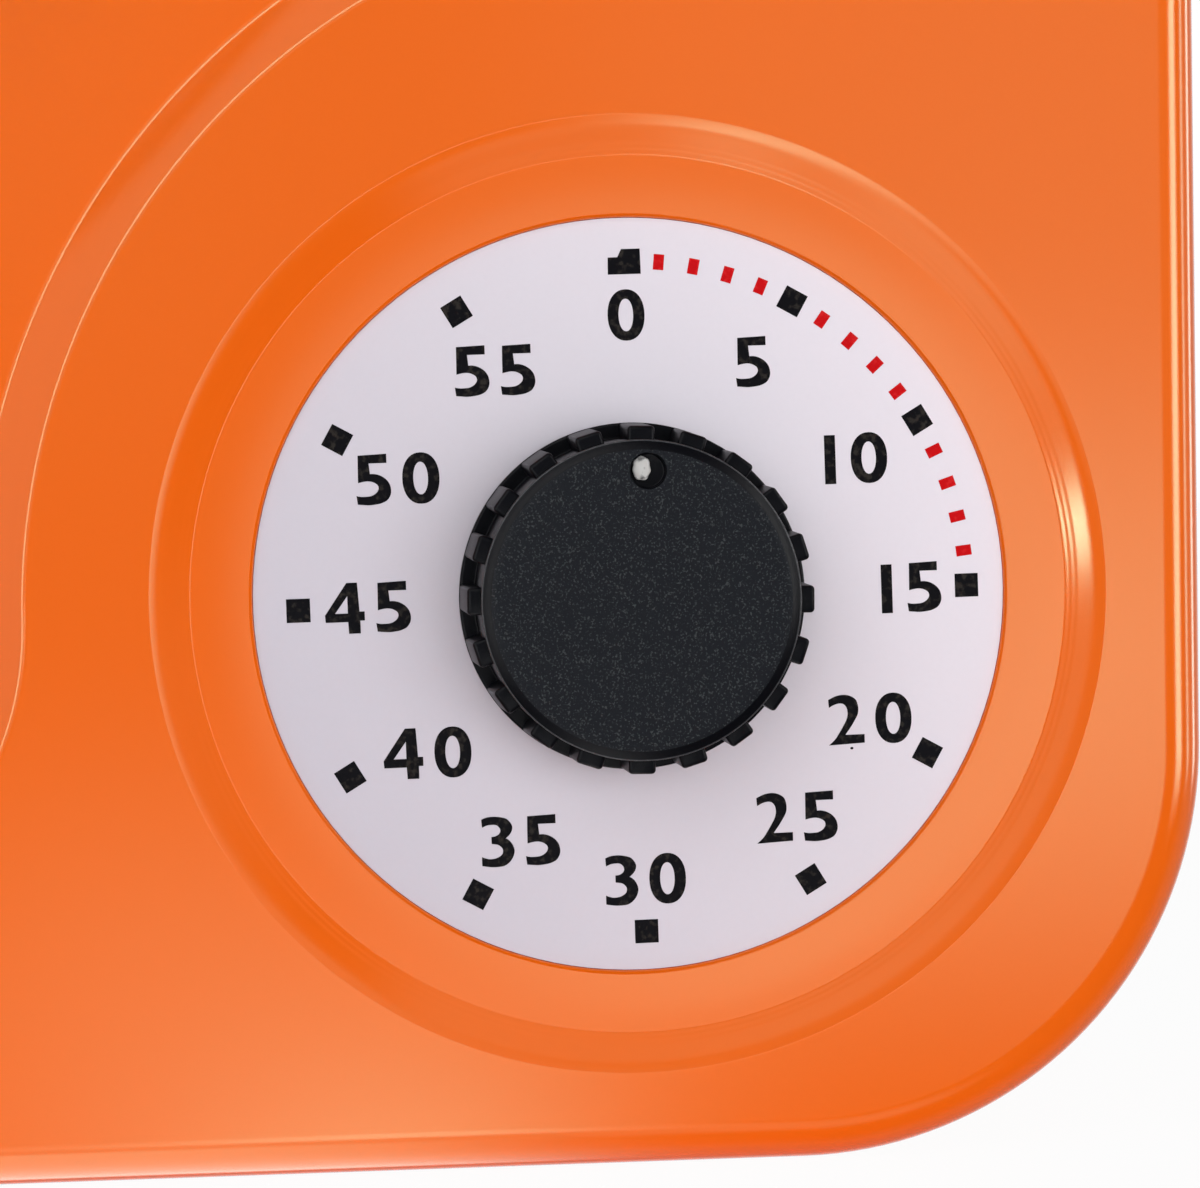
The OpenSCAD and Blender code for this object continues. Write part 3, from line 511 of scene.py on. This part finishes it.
# ---- Pressed case ----
BITE = (TIMER[0] + BITE_SHIFT, TURN_R - PANEL_W / 2)
HIGH_TURN_R = PANEL_W / 2 - BITE[0]
LOW_TURN = (BITE[0] - BITE_R - TURN_R, BITE[1])
HIGH_TURN = (BITE[0], BITE[1] + BITE_R + HIGH_TURN_R)


def pressed_case():
    """Front skin of the case, thickened to a sheet."""
    bm = bmesh.new()
    c, margin = PANEL_W / 2 - PANEL_R, 1.0
    step_path = (arc((c, c), PANEL_R, 0, 90, 12) + arc((-c, c), PANEL_R, 90, 180, 12)
                 + arc((-c, -c), PANEL_R, 180, 270, 12) + arc(LOW_TURN, TURN_R, 270, 360, 40)
                 + arc(BITE, BITE_R, 180, 90, 80, -1)[1:]
                 + arc(HIGH_TURN, HIGH_TURN_R, 270, 360, 30)[1:])
    step = sweep(bm, step_path, sloped_step(STEP_W / 2, PANEL, FRONT, STEP_BEND))
    wall = sweep(bm, rounded_path(CASE_W, CASE_H, CORNER_R, 40),
                 [(-EDGE_R - margin, FRONT)] + bend(-EDGE_R, FRONT - EDGE_R, EDGE_R, 90, 0, 14)
                 + [(0.0, z) for z in (10.0, -10.0, -FRONT)])
    slope = rising(DISH_TILTS, DISH_R, FRONT) + [(DISH_R + 0.6, FRONT)]
    seat_r, low = DIAL_R + SEAT_PLAY, slope[0][1]
    lip = bend(seat_r + SEAT_LIP_R, low - SEAT_LIP_R, SEAT_LIP_R, 180, 90, 4)
    dish = sweep(bm, arc(TIMER, 0.0, 360, 0, DISH_PARTS)[1:],
                 [(SEAT_HOLE_R, SEAT), (seat_r, SEAT)] + lip[:-1] + slope)
    hole = sweep(bm, arc(CLOCK, 0.0, 360, 0, HOLE_PARTS)[1:],
                 [(CLOCK_HOLE_R, PANEL), (CLOCK_FLAT_R, PANEL)])
    level_fill(bm, wall[0], step[-1], dish[-1])
    level_fill(bm, step[0], hole[-1])
    bmesh.ops.remove_doubles(bm, verts=bm.verts, dist=1e-7)
    bmesh.ops.recalc_face_normals(bm, faces=bm.faces)
    if sum(f.normal.y * f.calc_area() for f in bm.faces) > 0:
        bmesh.ops.reverse_faces(bm, faces=bm.faces)
    case = piece("pressed_case", to_mesh(bm, "pressed_case"), PAINT, "case")
    skin = case.modifiers.new("sheet", "SOLIDIFY")
    skin.thickness, skin.offset, skin.use_even_offset = SHEET * MM, -1.0, True
    applied(case)
    true_flats(case.data)
    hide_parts("front_case")


# ---- Timer knob ----
def turned(bm, section, steps, material=0):
    """Closed shape turned about the local z axis from a section of (radius, height), in
    millimetres."""
    rows = []
    for r, z in section:
        if r < 1e-6:
            rows.append([bm.verts.new((0, 0, z))])
            continue
        angles = [2 * math.pi * i / steps for i in range(steps)]
        rows.append([bm.verts.new((r * math.cos(a), r * math.sin(a), z)) for a in angles])
    for a, b in zip(rows, rows[1:]):
        for i in range(steps):
            j = (i + 1) % steps
            ring = [a[i % len(a)], a[j % len(a)], b[j % len(b)], b[i % len(b)]]
            ring = [v for k, v in enumerate(ring) if v not in ring[:k]]
            bm.faces.new(ring).material_index = material


def knob_section():
    """Section of the knob: flat cap, falling shoulder, rounded edge, side, foot and hollow."""
    rim, skirt = KNOB_TOP - CAP_DROP, KNOB_CAP_R + 0.2
    flat_r, edge_r, parts = KNOB_CAP_R - CAP_SHOULDER, KNOB_CAP_R - CAP_EDGE_R, 12
    cap = [(r, KNOB_TOP) for r in (0.0, 4.0, 7.0, 8.6, flat_r)]
    band = [(flat_r + (edge_r - flat_r) * i / parts, KNOB_TOP - CAP_DROP * (i / parts) ** 1.5)
            for i in range(1, parts + 1)]
    foot, ease, foot_ease = KNOB_LOW + KNOB_FOOT_H, 0.15, 0.25
    side = (bend(edge_r, rim - CAP_EDGE_R, CAP_EDGE_R, 90, 0, 4)[1:] + [(skirt, foot + ease)]
            + bend(skirt + ease, foot + ease, ease, 180, 270, 4)
            + bend(KNOB_FOOT_R - foot_ease, foot - foot_ease, foot_ease, 90, 0, 5)
            + bend(KNOB_FOOT_R - ease, KNOB_LOW + ease, ease, 0, -90, 4))
    inside = [(skirt - KNOB_WALL, KNOB_LOW), (KNOB_CAP_R - KNOB_WALL, KNOB_TOP - KNOB_WALL),
              (0.0, KNOB_TOP - KNOB_WALL)]
    return cap + band + side + inside


def pointer_drill():
    """What the pointer's hole takes out of the knob."""
    drill = bmesh.new()
    floor_z, ease = KNOB_TOP - POINTER_DEPTH, 0.15
    section = ([(0.0, floor_z)] + bend(1.25, floor_z + ease, ease, -90, 0, 4)
               + [(1.4, KNOB_TOP - 0.12), (1.52, KNOB_TOP + 0.02), (1.6, KNOB_TOP + 1.0),
                  (0.0, KNOB_TOP + 1.0)])
    turned(drill, section, DRILL_PARTS, 1)
    bmesh.ops.recalc_face_normals(drill, faces=drill.faces)
    cut = in_scene("pointer_drill", to_mesh(drill, "pointer_drill"))
    for material in (KNOB_GRAIN, KNOB_SMOOTH):
        cut.data.materials.append(material)
    cut.data.transform(Matrix.Translation((0, POINTER_AT, 0)))
    return cut


def knob_shell():
    """Knob without its ribs, hollow from below, with the pointer's hole in its cap."""
    bm = bmesh.new()
    turned(bm, knob_section(), KNOB_PARTS)
    rim, play, cap_t = KNOB_TOP - CAP_DROP, 0.02, 0.12
    for f in bm.faces:
        mid = f.calc_center_median()
        out = math.hypot(mid.x, mid.y)
        on_cap = mid.z > KNOB_TOP - cap_t and out < KNOB_CAP_R
        on_edge = (rim - CAP_EDGE_R - play < mid.z < rim + play
                   and out > KNOB_CAP_R - CAP_EDGE_R - play)
        # Faces on the cap's rounded rim get the material with the painted highlight
        f.material_index = 0 if on_cap else 2 if on_edge else 1
    bmesh.ops.remove_doubles(bm, verts=bm.verts, dist=1e-5)
    bmesh.ops.recalc_face_normals(bm, faces=bm.faces)
    shell = in_scene("knob_shell", to_mesh(bm, "knob_shell"))
    for material in (KNOB_GRAIN, KNOB_SMOOTH, KNOB_RIM_HIGHLIGHT):
        shell.data.materials.append(material)
    cut = pointer_drill()
    boolean = shell.modifiers.new("pointer", "BOOLEAN")
    boolean.operation, boolean.object, boolean.solver = "DIFFERENCE", cut, "EXACT"
    applied(shell)
    bpy.data.objects.remove(cut)
    shell.data.transform(upright(TIMER, 0, POINTER_TURN))
    smoothed(shell.data, 40)
    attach(shell, "winder")
    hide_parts("timer_knob")


# ---- Things that stand in a ring ----
# Leaves out none, as no ring has so many places
NONE = 1000


def ring_tree():
    """Instances of a shape round a circle, clockwise from the top: place i of so many, from
    a first to a last one, leaving out every n-th, or none where n is more than the places."""
    tree = bpy.data.node_groups.new("ring_of", "GeometryNodeTree")
    keys = {}
    for label, kind, value in (
        ("Shape", "Object", None), ("Places", "Int", 12), ("First", "Int", 0),
        ("Last", "Int", 11), ("Leave out every", "Int", NONE), ("Radius", "Float", 10.0),
        ("Finish", "Material", None),
    ):
        socket = tree.interface.new_socket(label, in_out="INPUT", socket_type="NodeSocket" + kind)
        if value is not None:
            socket.default_value = value
        keys[label] = socket.identifier
    tree.interface.new_socket("Geometry", in_out="OUTPUT", socket_type="NodeSocketGeometry")
    net = Net(tree)
    got = tree.nodes.new("NodeGroupInput").outputs
    place = net("GeometryNodeInputIndex")
    angle = net.math("MULTIPLY", net.math("DIVIDE", place, got["Places"]), 2 * math.pi)
    x = net.math("MULTIPLY", net.math("SINE", angle), got["Radius"])
    y = net.math("MULTIPLY", net.math("COSINE", angle), got["Radius"])
    spot = net("ShaderNodeCombineXYZ", X=x, Y=y)
    spots = net("GeometryNodePoints", Count=got["Places"], Position=spot)
    shape = net("GeometryNodeObjectInfo", out=4, Object=got["Shape"])
    turn = net("ShaderNodeCombineXYZ", Z=net.math("MULTIPLY", angle, -1.0))
    late = net.math("GREATER_THAN", place, net.math("SUBTRACT", got["First"], 0.5))
    early = net.math("LESS_THAN", place, net.math("ADD", got["Last"], 0.5))
    skipped = net.math("MODULO", place, got["Leave out every"])
    none_out = net.math("GREATER_THAN", got["Leave out every"], got["Places"])
    kept = net.math("GREATER_THAN", net.math("ADD", skipped, none_out), 0.5)
    chosen = net.math("MULTIPLY", net.math("MULTIPLY", late, early), kept)
    ring = net("GeometryNodeInstanceOnPoints", Points=spots, Selection=chosen, Instance=shape,
               Rotation=turn)
    solid = net("GeometryNodeRealizeInstances", Geometry=ring)
    done = net("GeometryNodeSetMaterial", Geometry=solid, Material=got["Finish"])
    net.put(done, tree.nodes.new("NodeGroupOutput").inputs[0])
    return tree, keys


RING, RING_KEYS = ring_tree()


def ring_of(name, shape_bm, material, place, body, slot, **inputs):
    """A piece made of a shape at places of a ring; inputs are those of the ring's tree."""
    shape = in_scene("shape", to_mesh(shape_bm, "shape"))
    holder = in_scene(name, bpy.data.meshes.new(name))
    ring = holder.modifiers.new("ring", "NODES")
    ring.node_group = RING
    for label, value in {"Shape": shape, "Finish": material, **inputs}.items():
        ring[RING_KEYS[label.replace("_", " ")]] = value
    mesh = applied(holder)
    bpy.data.objects.remove(holder)
    bpy.data.objects.remove(shape)
    mesh.transform(place)
    piece(name, mesh, material, body)


def knob_ribs():
    """Grip ribs round the knob: blocks with rounded outer edges that lean in towards the cap."""
    w, ease, lean = 2.2, 0.32, 0.36
    low_y, high_y = KNOB_CAP_R - 0.3, KNOB_FOOT_R - 0.05
    low_z, high_z = KNOB_LOW + 0.9, KNOB_TOP - 1.0
    bm = bmesh.new()
    bmesh.ops.create_cube(bm, size=1.0)
    for v in bm.verts:
        top, out = v.co.z > 0, v.co.y > 0
        y = (high_y - (lean if top else 0)) if out else low_y
        v.co = Vector((v.co.x * w, y, high_z if top else low_z))
    edges = []
    for e in bm.edges:
        ys = [v.co.y for v in e.verts]
        on_top = all(v.co.z > high_z - 0.01 for v in e.verts)
        if max(ys) > low_y + 0.01 and (min(ys) > low_y + 0.01 or on_top):
            edges.append(e)
    bmesh.ops.bevel(bm, geom=edges, offset=ease, segments=4, profile=0.5, affect="EDGES")
    ring_of("knob_ribs", bm, KNOB_SMOOTH, upright(TIMER, 0, POINTER_TURN + RIB_TURN), "winder",
            "knob_plastic", Places=RIBS, First=0, Last=RIBS - 1, Leave_out_every=NONE, Radius=0.0)


def pointer_paint():
    """Blob of paint that half fills the pointer hole."""
    at = (-0.5, POINTER_AT + 0.15, KNOB_TOP - 0.72)
    half = (0.72, 0.98, 0.32)
    most = 1.36
    bm = bmesh.new()
    bmesh.ops.create_icosphere(bm, subdivisions=4, radius=1.0)
    for v in bm.verts:
        x, y, z = v.co
        lump = (1 + 0.07 * math.sin(5 * x + 2) * math.cos(4 * y + 1)
                + 0.03 * math.sin(9 * y + 3 * x))
        v.co = Vector([a + c * h * lump for a, c, h in zip(at, (x, y, z), half)])
        r = math.hypot(v.co.x, v.co.y - POINTER_AT)
        if r > most:
            v.co.x *= most / r
            v.co.y = POINTER_AT + (v.co.y - POINTER_AT) * most / r
    mesh = to_mesh(bm, "pointer_paint")
    mesh.transform(upright(TIMER, 0, POINTER_TURN))
    piece("pointer_paint", mesh, POINTER, "winder", 60)


# ---- Figures and marks of the dials ----
# Outlines of the figures in hundredths of their height: runs of points with a smooth line
# through each run and a corner between runs.
FIGURES = {
    "1": ([[(0, 0)], [(0, 97)], [(22, 97)], [(22, 0)]],),
    "2": ([[(1, 91), (17, 98), (33, 100), (46, 97), (56, 90), (60, 80), (61, 69), (59, 59),
            (53, 48), (46, 37), (38, 26), (34, 21)], [(35, 20), (72, 20)], [(72, 3), (0, 0)],
           [(1, 1), (13, 12), (22, 25), (30, 38), (36, 49), (39, 59), (39, 68), (37, 75),
            (32, 81), (25, 83), (17, 82), (9, 79), (2, 75)]],),
    "3": ([[(2, 95), (13, 99), (28, 100), (42, 98), (53, 94), (60, 86), (63, 78), (61, 69),
            (56, 62), (49, 56)],
           [(50, 56), (57, 51), (63, 42), (66, 31), (63, 19), (56, 9), (46, 2), (35, 0),
            (19, 0), (1, 3)],
           [(1, 21), (8, 18), (17, 16), (28, 17), (37, 21), (42, 26), (43, 33), (40, 39),
            (33, 44), (21, 46)],
           [(21, 60), (29, 61), (36, 65), (39, 71), (37, 78), (31, 83), (23, 84), (13, 83),
            (3, 79)]],),
    "4": ([[(44, 100)], [(65, 100)], [(68, 43)], [(78, 43)], [(78, 25)], [(69, 25)], [(69, 0)],
           [(46, 0)], [(45, 23)], [(1, 23)], [(0, 37)]], [[(45, 74)], [(20, 40)], [(45, 40)]]),
    "5": ([[(5, 98)], [(61, 100)], [(61, 82)], [(26, 82)],
           [(28, 61), (36, 61), (47, 58), (58, 51), (65, 42), (68, 32), (68, 23), (65, 15),
            (59, 8), (48, 3), (37, 1), (24, 0), (12, 1), (2, 2)],
           [(0, 19), (9, 17), (20, 17), (29, 18), (37, 22), (42, 27), (44, 33), (42, 39),
            (37, 43), (30, 46), (22, 47), (13, 46), (4, 44)]],),
    "7": ([[(0, 100)], [(66, 100)], [(66, 88), (48, 54), (34, 0)], [(10, 0)],
           [(22, 48), (38, 81)], [(0, 81)]],),
}


def oval(cx, cy, w, h, power=2.15, steps=40):
    """Ellipse, or a squarer shape where the power is more than 2."""
    made = []
    for i in range(steps):
        a = 2 * math.pi * i / steps
        c, s = math.cos(a), math.sin(a)
        made.append((cx + w * math.copysign(abs(c) ** (2 / power), c),
                     cy + h * math.copysign(abs(s) ** (2 / power), s)))
    return made


def smooth(run, steps=6):
    """Catmull-Rom line through a run of points."""
    if len(run) < 3:
        return list(run)
    ends = [run[0]] + list(run) + [run[-1]]
    made = []
    for i in range(1, len(ends) - 2):
        p, q, r, s = (Vector(ends[k]) for k in range(i - 1, i + 3))
        for k in range(steps):
            t = k / steps
            v = 0.5 * (2 * q + (r - p) * t + (2 * p - 5 * q + 4 * r - s) * t * t
                       + (3 * q - p - 3 * r + s) * t ** 3)
            made.append((v.x, v.y))
    return made + [tuple(run[-1])]


def bearing(p, centre):
    """Direction of a point from a centre, in degrees."""
    return math.degrees(math.atan2(p[1] - centre[1], p[0] - centre[0]))


def figure_loops(sign):
    """Closed outlines of one figure: the outer one first, then its holes."""
    if sign == "0":
        return [oval(37, 50, 36.5, 50.5, 2.2), oval(36.5, 50, 14.5, 32, 2.1)]
    if sign == "8":
        head_at, foot_at = (34, 74), (34, 29)
        head = [p for p in oval(*head_at, 28, 26.5) if p[1] > 55.5]
        head.sort(key=lambda p: (bearing(p, head_at) + 80) % 360)
        foot = [p for p in oval(*foot_at, 34, 29.5) if p[1] < 52]
        left = sorted((p for p in foot if p[0] < foot_at[0]), key=lambda p: -p[1])
        right = sorted((p for p in foot if p[0] >= foot_at[0]), key=lambda p: p[1])
        return [head + left + right, oval(34, 75, 12, 13.5), oval(34, 28, 14.5, 15.5)]
    if sign in "69":
        bowl_at = (35, 32)
        bowl = [p for p in oval(*bowl_at, 34, 32.5, 2.15, 48)
                if not (p[0] < 22 and p[1] > 30) and not 100 <= bearing(p, bowl_at) % 360 <= 186]
        bowl.sort(key=lambda p: -((bearing(p, bowl_at) + 170) % 360))
        back = smooth([(2, 38), (6, 56), (17, 76), (32, 90), (56, 101)])
        nose = smooth([(58, 84), (44, 77), (34, 68), (29, 62)])
        loops = [back + nose + bowl, oval(36, 31, 13, 16)]
        if sign == "9":
            loops = [[(70 - x, 100 - y) for x, y in loop] for loop in loops]
        return loops
    return [[p for run in outline for p in smooth(run)] for outline in FIGURES[sign]]


def flat_shape(bm, loops):
    """Thin closed solid of ink over an outline with holes, from z = 0 up."""
    levels = [[[bm.verts.new((x, y, z)) for x, y in loop] for loop in loops] for z in (INK_T, 0.0)]
    tops, feet = ([v for loop in level for v in loop] for level in levels)
    for tri in tessellate_polygon([[Vector((x, y, 0)) for x, y in loop] for loop in loops]):
        for side in (tops, feet):
            try:
                bm.faces.new([side[k] for k in tri])
            except ValueError:
                pass
    for top, foot in zip(*levels):
        for i in range(len(top)):
            j = (i + 1) % len(top)
            bm.faces.new((top[i], top[j], foot[j], foot[i]))


def number(bm, text, centre, height, gap):
    """A number drawn with its middle at a place, with a gap in hundredths of its height."""
    loops_of = [figure_loops(sign) for sign in text]
    widths = [max(p[0] for p in loops[0]) for loops in loops_of]
    k = height / 100
    x = centre[0] - (sum(widths) + gap * (len(text) - 1)) * k / 2
    y = centre[1] - height / 2
    for loops, width in zip(loops_of, widths):
        flat_shape(bm, [[(x + px * k, y + py * k) for px, py in loop] for loop in loops])
        x += (width + gap) * k


def block(w, h):
    """Mark of ink, drawn about its middle."""
    bm = bmesh.new()
    flat_shape(bm, [[(-w / 2, -h / 2), (w / 2, -h / 2), (w / 2, h / 2), (-w / 2, h / 2)]])
    bmesh.ops.recalc_face_normals(bm, faces=bm.faces)
    return bm


def black_print(name, bm, place):
    """A piece of black ink on a dial, from what was drawn."""
    bmesh.ops.recalc_face_normals(bm, faces=bm.faces)
    mesh = to_mesh(bm, name)
    mesh.transform(place)
    piece(name, mesh, INK, "case")


# Where the timer's figures stand about the middle of its print
TIMER_FIGURES = {
    "0": (0.06, 23.55), "5": (10.53, 19.33), "10": (18.96, 11.0), "15": (23.3, 0.0),
    "20": (19.45, -10.94), "25": (13.0, -18.95), "30": (0.05, -23.62), "35": (-10.31, -19.92),
    "40": (-17.78, -12.25), "45": (-22.27, 0.04), "50": (-19.38, 10.62), "55": (-11.02, 19.31),
}
TIMER_FIGURE_H = 4.22
TIMER_MARKS_R = 28.0
ZERO_MARK = [(-1.3, 28.35), (-0.5, 28.35), (-0.17, 29.02), (1.39, 29.02), (1.42, 26.93),
             (-1.33, 26.93)]
SPECK_AT = (17.84, -13.35)
CLOCK_FIGURE_H = 10.5
CLOCK_FIGURES_R = 46.5
CLOCK_MARKS_R = 57.5


def timer_print():
    place = upright((TIMER[0] + PRINT_SHIFT[0], TIMER[1] + PRINT_SHIFT[1]), DIAL_TOP, PRINT_TURN)
    bm = bmesh.new()
    for text, at in TIMER_FIGURES.items():
        number(bm, text, at, TIMER_FIGURE_H, 30 if text in ("10", "15") else 22)
    flat_shape(bm, [ZERO_MARK])
    flat_shape(bm, [[(SPECK_AT[0] + x * 0.01, SPECK_AT[1] + y * 0.01)
                     for x, y in oval(0, 0, 14, 11, 2, 12)]])
    black_print("timer_figures", bm, place)
    ring_of("timer_five_minute_marks", block(1.97, 1.97), INK, place, "case", "dial_print",
            Places=12, First=1, Last=11, Leave_out_every=NONE, Radius=TIMER_MARKS_R)
    ring_of("timer_minute_marks", block(0.88, 1.3), INK_RED, place, "case", "dial_print",
            Places=60, First=1, Last=14, Leave_out_every=5, Radius=TIMER_MARKS_R)


def clock_print():
    place = upright(CLOCK, CLOCK_TOP)
    bm = bmesh.new()
    for hour in range(1, 13):
        a = math.radians(30 * hour)
        at = (CLOCK_FIGURES_R * math.sin(a), CLOCK_FIGURES_R * math.cos(a))
        number(bm, str(hour), at, CLOCK_FIGURE_H, 16)
    black_print("clock_figures", bm, place)
    ring_of("clock_five_minute_marks", block(3.0, 3.0), INK, place, "case", "dial_print",
            Places=12, First=0, Last=11, Leave_out_every=NONE, Radius=CLOCK_MARKS_R)
    ring_of("clock_minute_marks", block(0.9, 2.0), INK, place, "case", "dial_print",
            Places=60, First=0, Last=59, Leave_out_every=5, Radius=CLOCK_MARKS_R)


pressed_case()
knob_shell()
knob_ribs()
pointer_paint()
timer_print()
clock_print()

# ---- Floor, light and camera ----
WHITE = (1, 1, 1, 1)
FLOOR_HALF = 4.0
FLOOR_SEEN = 0.96
AIM = (0.07, -0.025, 0.06)
# Lamps: the way to them from the aim, how far and how wide they are in metres, and their watts
LAMPS = {
    "key": ((0.48, -0.87, -0.06), 1.0, 0.62, 3.5),
    "front": ((0.04, -1.0, 0.0), 1.2, 0.8, 4.7),
    "side": ((-0.42, -0.8, 0.42), 1.1, 0.9, 3.8),
}
# Level of the room's even light, and of its walls in reflections: near straight in front and
# to the sides, with the angles between which it changes
ROOM = 0.28
WALL_LEVELS = (0.06, 0.45)
WALL_ANGLES = (62, 90)
# How far back the way points where the white backdrop starts to show in reflections, and where
# it is full
BACKDROP = (0.6, 0.85)
# Reflecting patches of the studio. Square ones: degrees to the right of straight in front and
# up. Ring ones: degrees off straight in front and round it from the left, clockwise. Then half
# widths, softness and level.
PATCHES = [
    ("square", (11.5, 1.75), (8.0, 12.25), 3.0, 0.65),
    ("square", (-2.5, -16.0), (6.5, 9.5), 3.6, 2.4),
    ("square", (0.0, -19.0), (3.0, 6.8), 2.5, 6.5),
    ("square", (-3.0, -31.0), (4.0, 7.0), 3.0, 1.6),
    ("square", (11.6, -4.1), (8.3, 4.2), 3.4, 3.9),
    ("square", (-20.0, -25.0), (10.0, 9.0), 6.0, 1.3),
    ("square", (-28.5, -6.6), (4.0, 1.7), 1.6, 38.0),
    ("square", (55.0, 14.0), (7.8, 23.0), 4.0, 13.0),
    ("square", (83.6, 14.0), (3.0, 23.0), 2.0, 7.5),
    ("square", (109.0, 14.0), (4.0, 23.0), 2.0, 8.0),
    ("ring", (31.0, 5.0), (9.0, 128.0), 6.0, 1.25),
    ("ring", (50.0, 30.0), (6.0, 60.0), 3.0, 8.0),
    ("ring", (61.0, 30.0), (17.0, 60.0), 5.0, 1.3),
    ("ring", (79.0, -81.0), (41.0, 11.5), 3.6, 4.8),
]
# Camera: where it is, what it looks at, in the frame's axes and millimetres, how much it is
# rolled, in degrees, and its lens
CAMERA_AT = (50.3, -272.6, 58.4)
CAMERA_AIM = (68.78, -23.3, 48.28)
CAMERA_ROLL = 1.06
CAMERA_LENS = 90.0
SENSOR = 36.0


def floor():
    """Floor that takes the shadow of the object and is seen as white."""
    bm = bmesh.new()
    bmesh.ops.create_grid(bm, x_segments=1, y_segments=1, size=FLOOR_HALF)
    made = in_scene("floor", to_mesh(bm, "floor"))
    material, net, shader = new_material("floor_white")
    settle(net, shader, Base_Color=(0.9, 0.9, 0.9, 1), Roughness=0.9, Specular_IOR_Level=0.0)
    glow = net("ShaderNodeEmission", Color=WHITE, Strength=1.0)
    path = net.tree.nodes.new("ShaderNodeLightPath").outputs
    mirrored = net.math("MAXIMUM", path["Is Glossy Ray"], path["Is Transmission Ray"])
    straight = net.math("MULTIPLY", path["Is Camera Ray"], FLOOR_SEEN)
    seen = net.math("MAXIMUM", mirrored, straight)
    blend = net("ShaderNodeMixShader", Fac=seen, in1=shader.outputs[0], in2=glow)
    net.put(blend, material.node_tree.nodes["Material Output"].inputs[0])
    made.data.materials.append(material)
    made.visible_glossy = made.visible_shadow = False


def lamp(name, direction, distance, width, power):
    data = bpy.data.lights.new(name, "AREA")
    data.shape, data.size, data.energy = "SQUARE", width, power
    made = in_scene(name, data)
    way = Vector(direction).normalized()
    made.location = Vector(AIM) + way * distance
    made.rotation_mode = "QUATERNION"
    made.rotation_quaternion = way.to_track_quat("Z", "Y")
    made.visible_glossy = False


def soft_patch():
    """Bright patch with soft edges on the studio's walls: how much of it lies in a direction."""
    tree, net, got, put = shader_group(
        "soft_patch",
        {"Right": 0.0, "Up": 0.0, "At right": 0.0, "At up": 0.0, "Half width": 0.1,
         "Half height": 0.1, "Softness": 0.05}, ("Share",))
    edges = []
    for along, at, half in (("Right", "At right", "Half width"), ("Up", "At up", "Half height")):
        off = net.math("ABSOLUTE", net.math("SUBTRACT", got[along], got[at]))
        outer = net.math("ADD", got[half], got["Softness"])
        inner = net.math("SUBTRACT", got[half], got["Softness"])
        edges.append(net.ramp(off, outer, inner, kind="SMOOTHSTEP"))
    net.put(net.math("MULTIPLY", *edges), put["Share"])
    return tree


def world():
    """Even light of a room, which in reflections has patches, with a white backdrop."""
    made = bpy.data.worlds.new("studio")
    made.use_nodes = True
    tree = made.node_tree
    tree.nodes.clear()
    net = Net(tree)
    way = net("ShaderNodeSeparateXYZ", Vector=net("ShaderNodeTexCoord", out=0)).node
    x, y, z = way.outputs
    left, front = net.math("MULTIPLY", x, -1.0), net.math("MULTIPLY", y, -1.0)
    right, up = net.math("ARCTAN2", x, front), net.math("ARCSINE", z)
    off, around = net.math("ARCCOSINE", front), net.math("ARCTAN2", z, left)
    mirrored = net.ramp(off, *map(math.radians, WALL_ANGLES), *WALL_LEVELS, kind="SMOOTHSTEP")
    patch = soft_patch()
    for kind, at, half, softness, bright in PATCHES:
        node = tree.nodes.new("ShaderNodeGroup")
        node.node_tree = patch
        along = (right, up) if kind == "square" else (off, around)
        for socket, value in zip(node.inputs, (*along, *map(math.radians, (*at, *half, softness)))):
            net.put(value, socket)
        mirrored = net.math("MULTIPLY_ADD", node.outputs[0], bright, mirrored)
    path = tree.nodes.new("ShaderNodeLightPath").outputs
    shiny = net.math("MAXIMUM", path["Is Glossy Ray"], path["Is Transmission Ray"])
    behind = net.math("MULTIPLY", net.ramp(y, *BACKDROP, kind="SMOOTHSTEP"), shiny)
    colour = net.mix(shiny, (ROOM, ROOM, ROOM, 1), mirrored)
    colour = net.mix(net.math("MAXIMUM", path["Is Camera Ray"], behind), colour, WHITE)
    back = net("ShaderNodeBackground", Color=colour, Strength=1.0)
    net.put(back, tree.nodes.new("ShaderNodeOutputWorld").inputs[0])
    bpy.context.scene.world = made


def camera():
    data = bpy.data.cameras.new("camera")
    data.lens, data.sensor_width, data.sensor_fit = CAMERA_LENS, SENSOR, "HORIZONTAL"
    data.clip_start, data.clip_end = 0.01, 20.0
    made = in_scene("camera", data)
    place, aim, roll = Vector(CAMERA_AT) * MM, Vector(CAMERA_AIM) * MM, math.radians(CAMERA_ROLL)
    ahead = (aim - place).normalized()
    up = (Vector((0, 0, 1)) - ahead * ahead.z).normalized()
    right = ahead.cross(up)
    c, s = math.cos(roll), math.sin(roll)
    up, right = up * c + right * s, right * c - up * s
    axes = Matrix((right, up, -ahead)).transposed().to_4x4()
    made.matrix_world = Matrix.Translation(place) @ axes
    bpy.context.scene.camera = made


floor()
world()
for name, settings in LAMPS.items():
    lamp(name, *settings)
camera()
bpy.context.scene.view_settings.view_transform = "Standard"
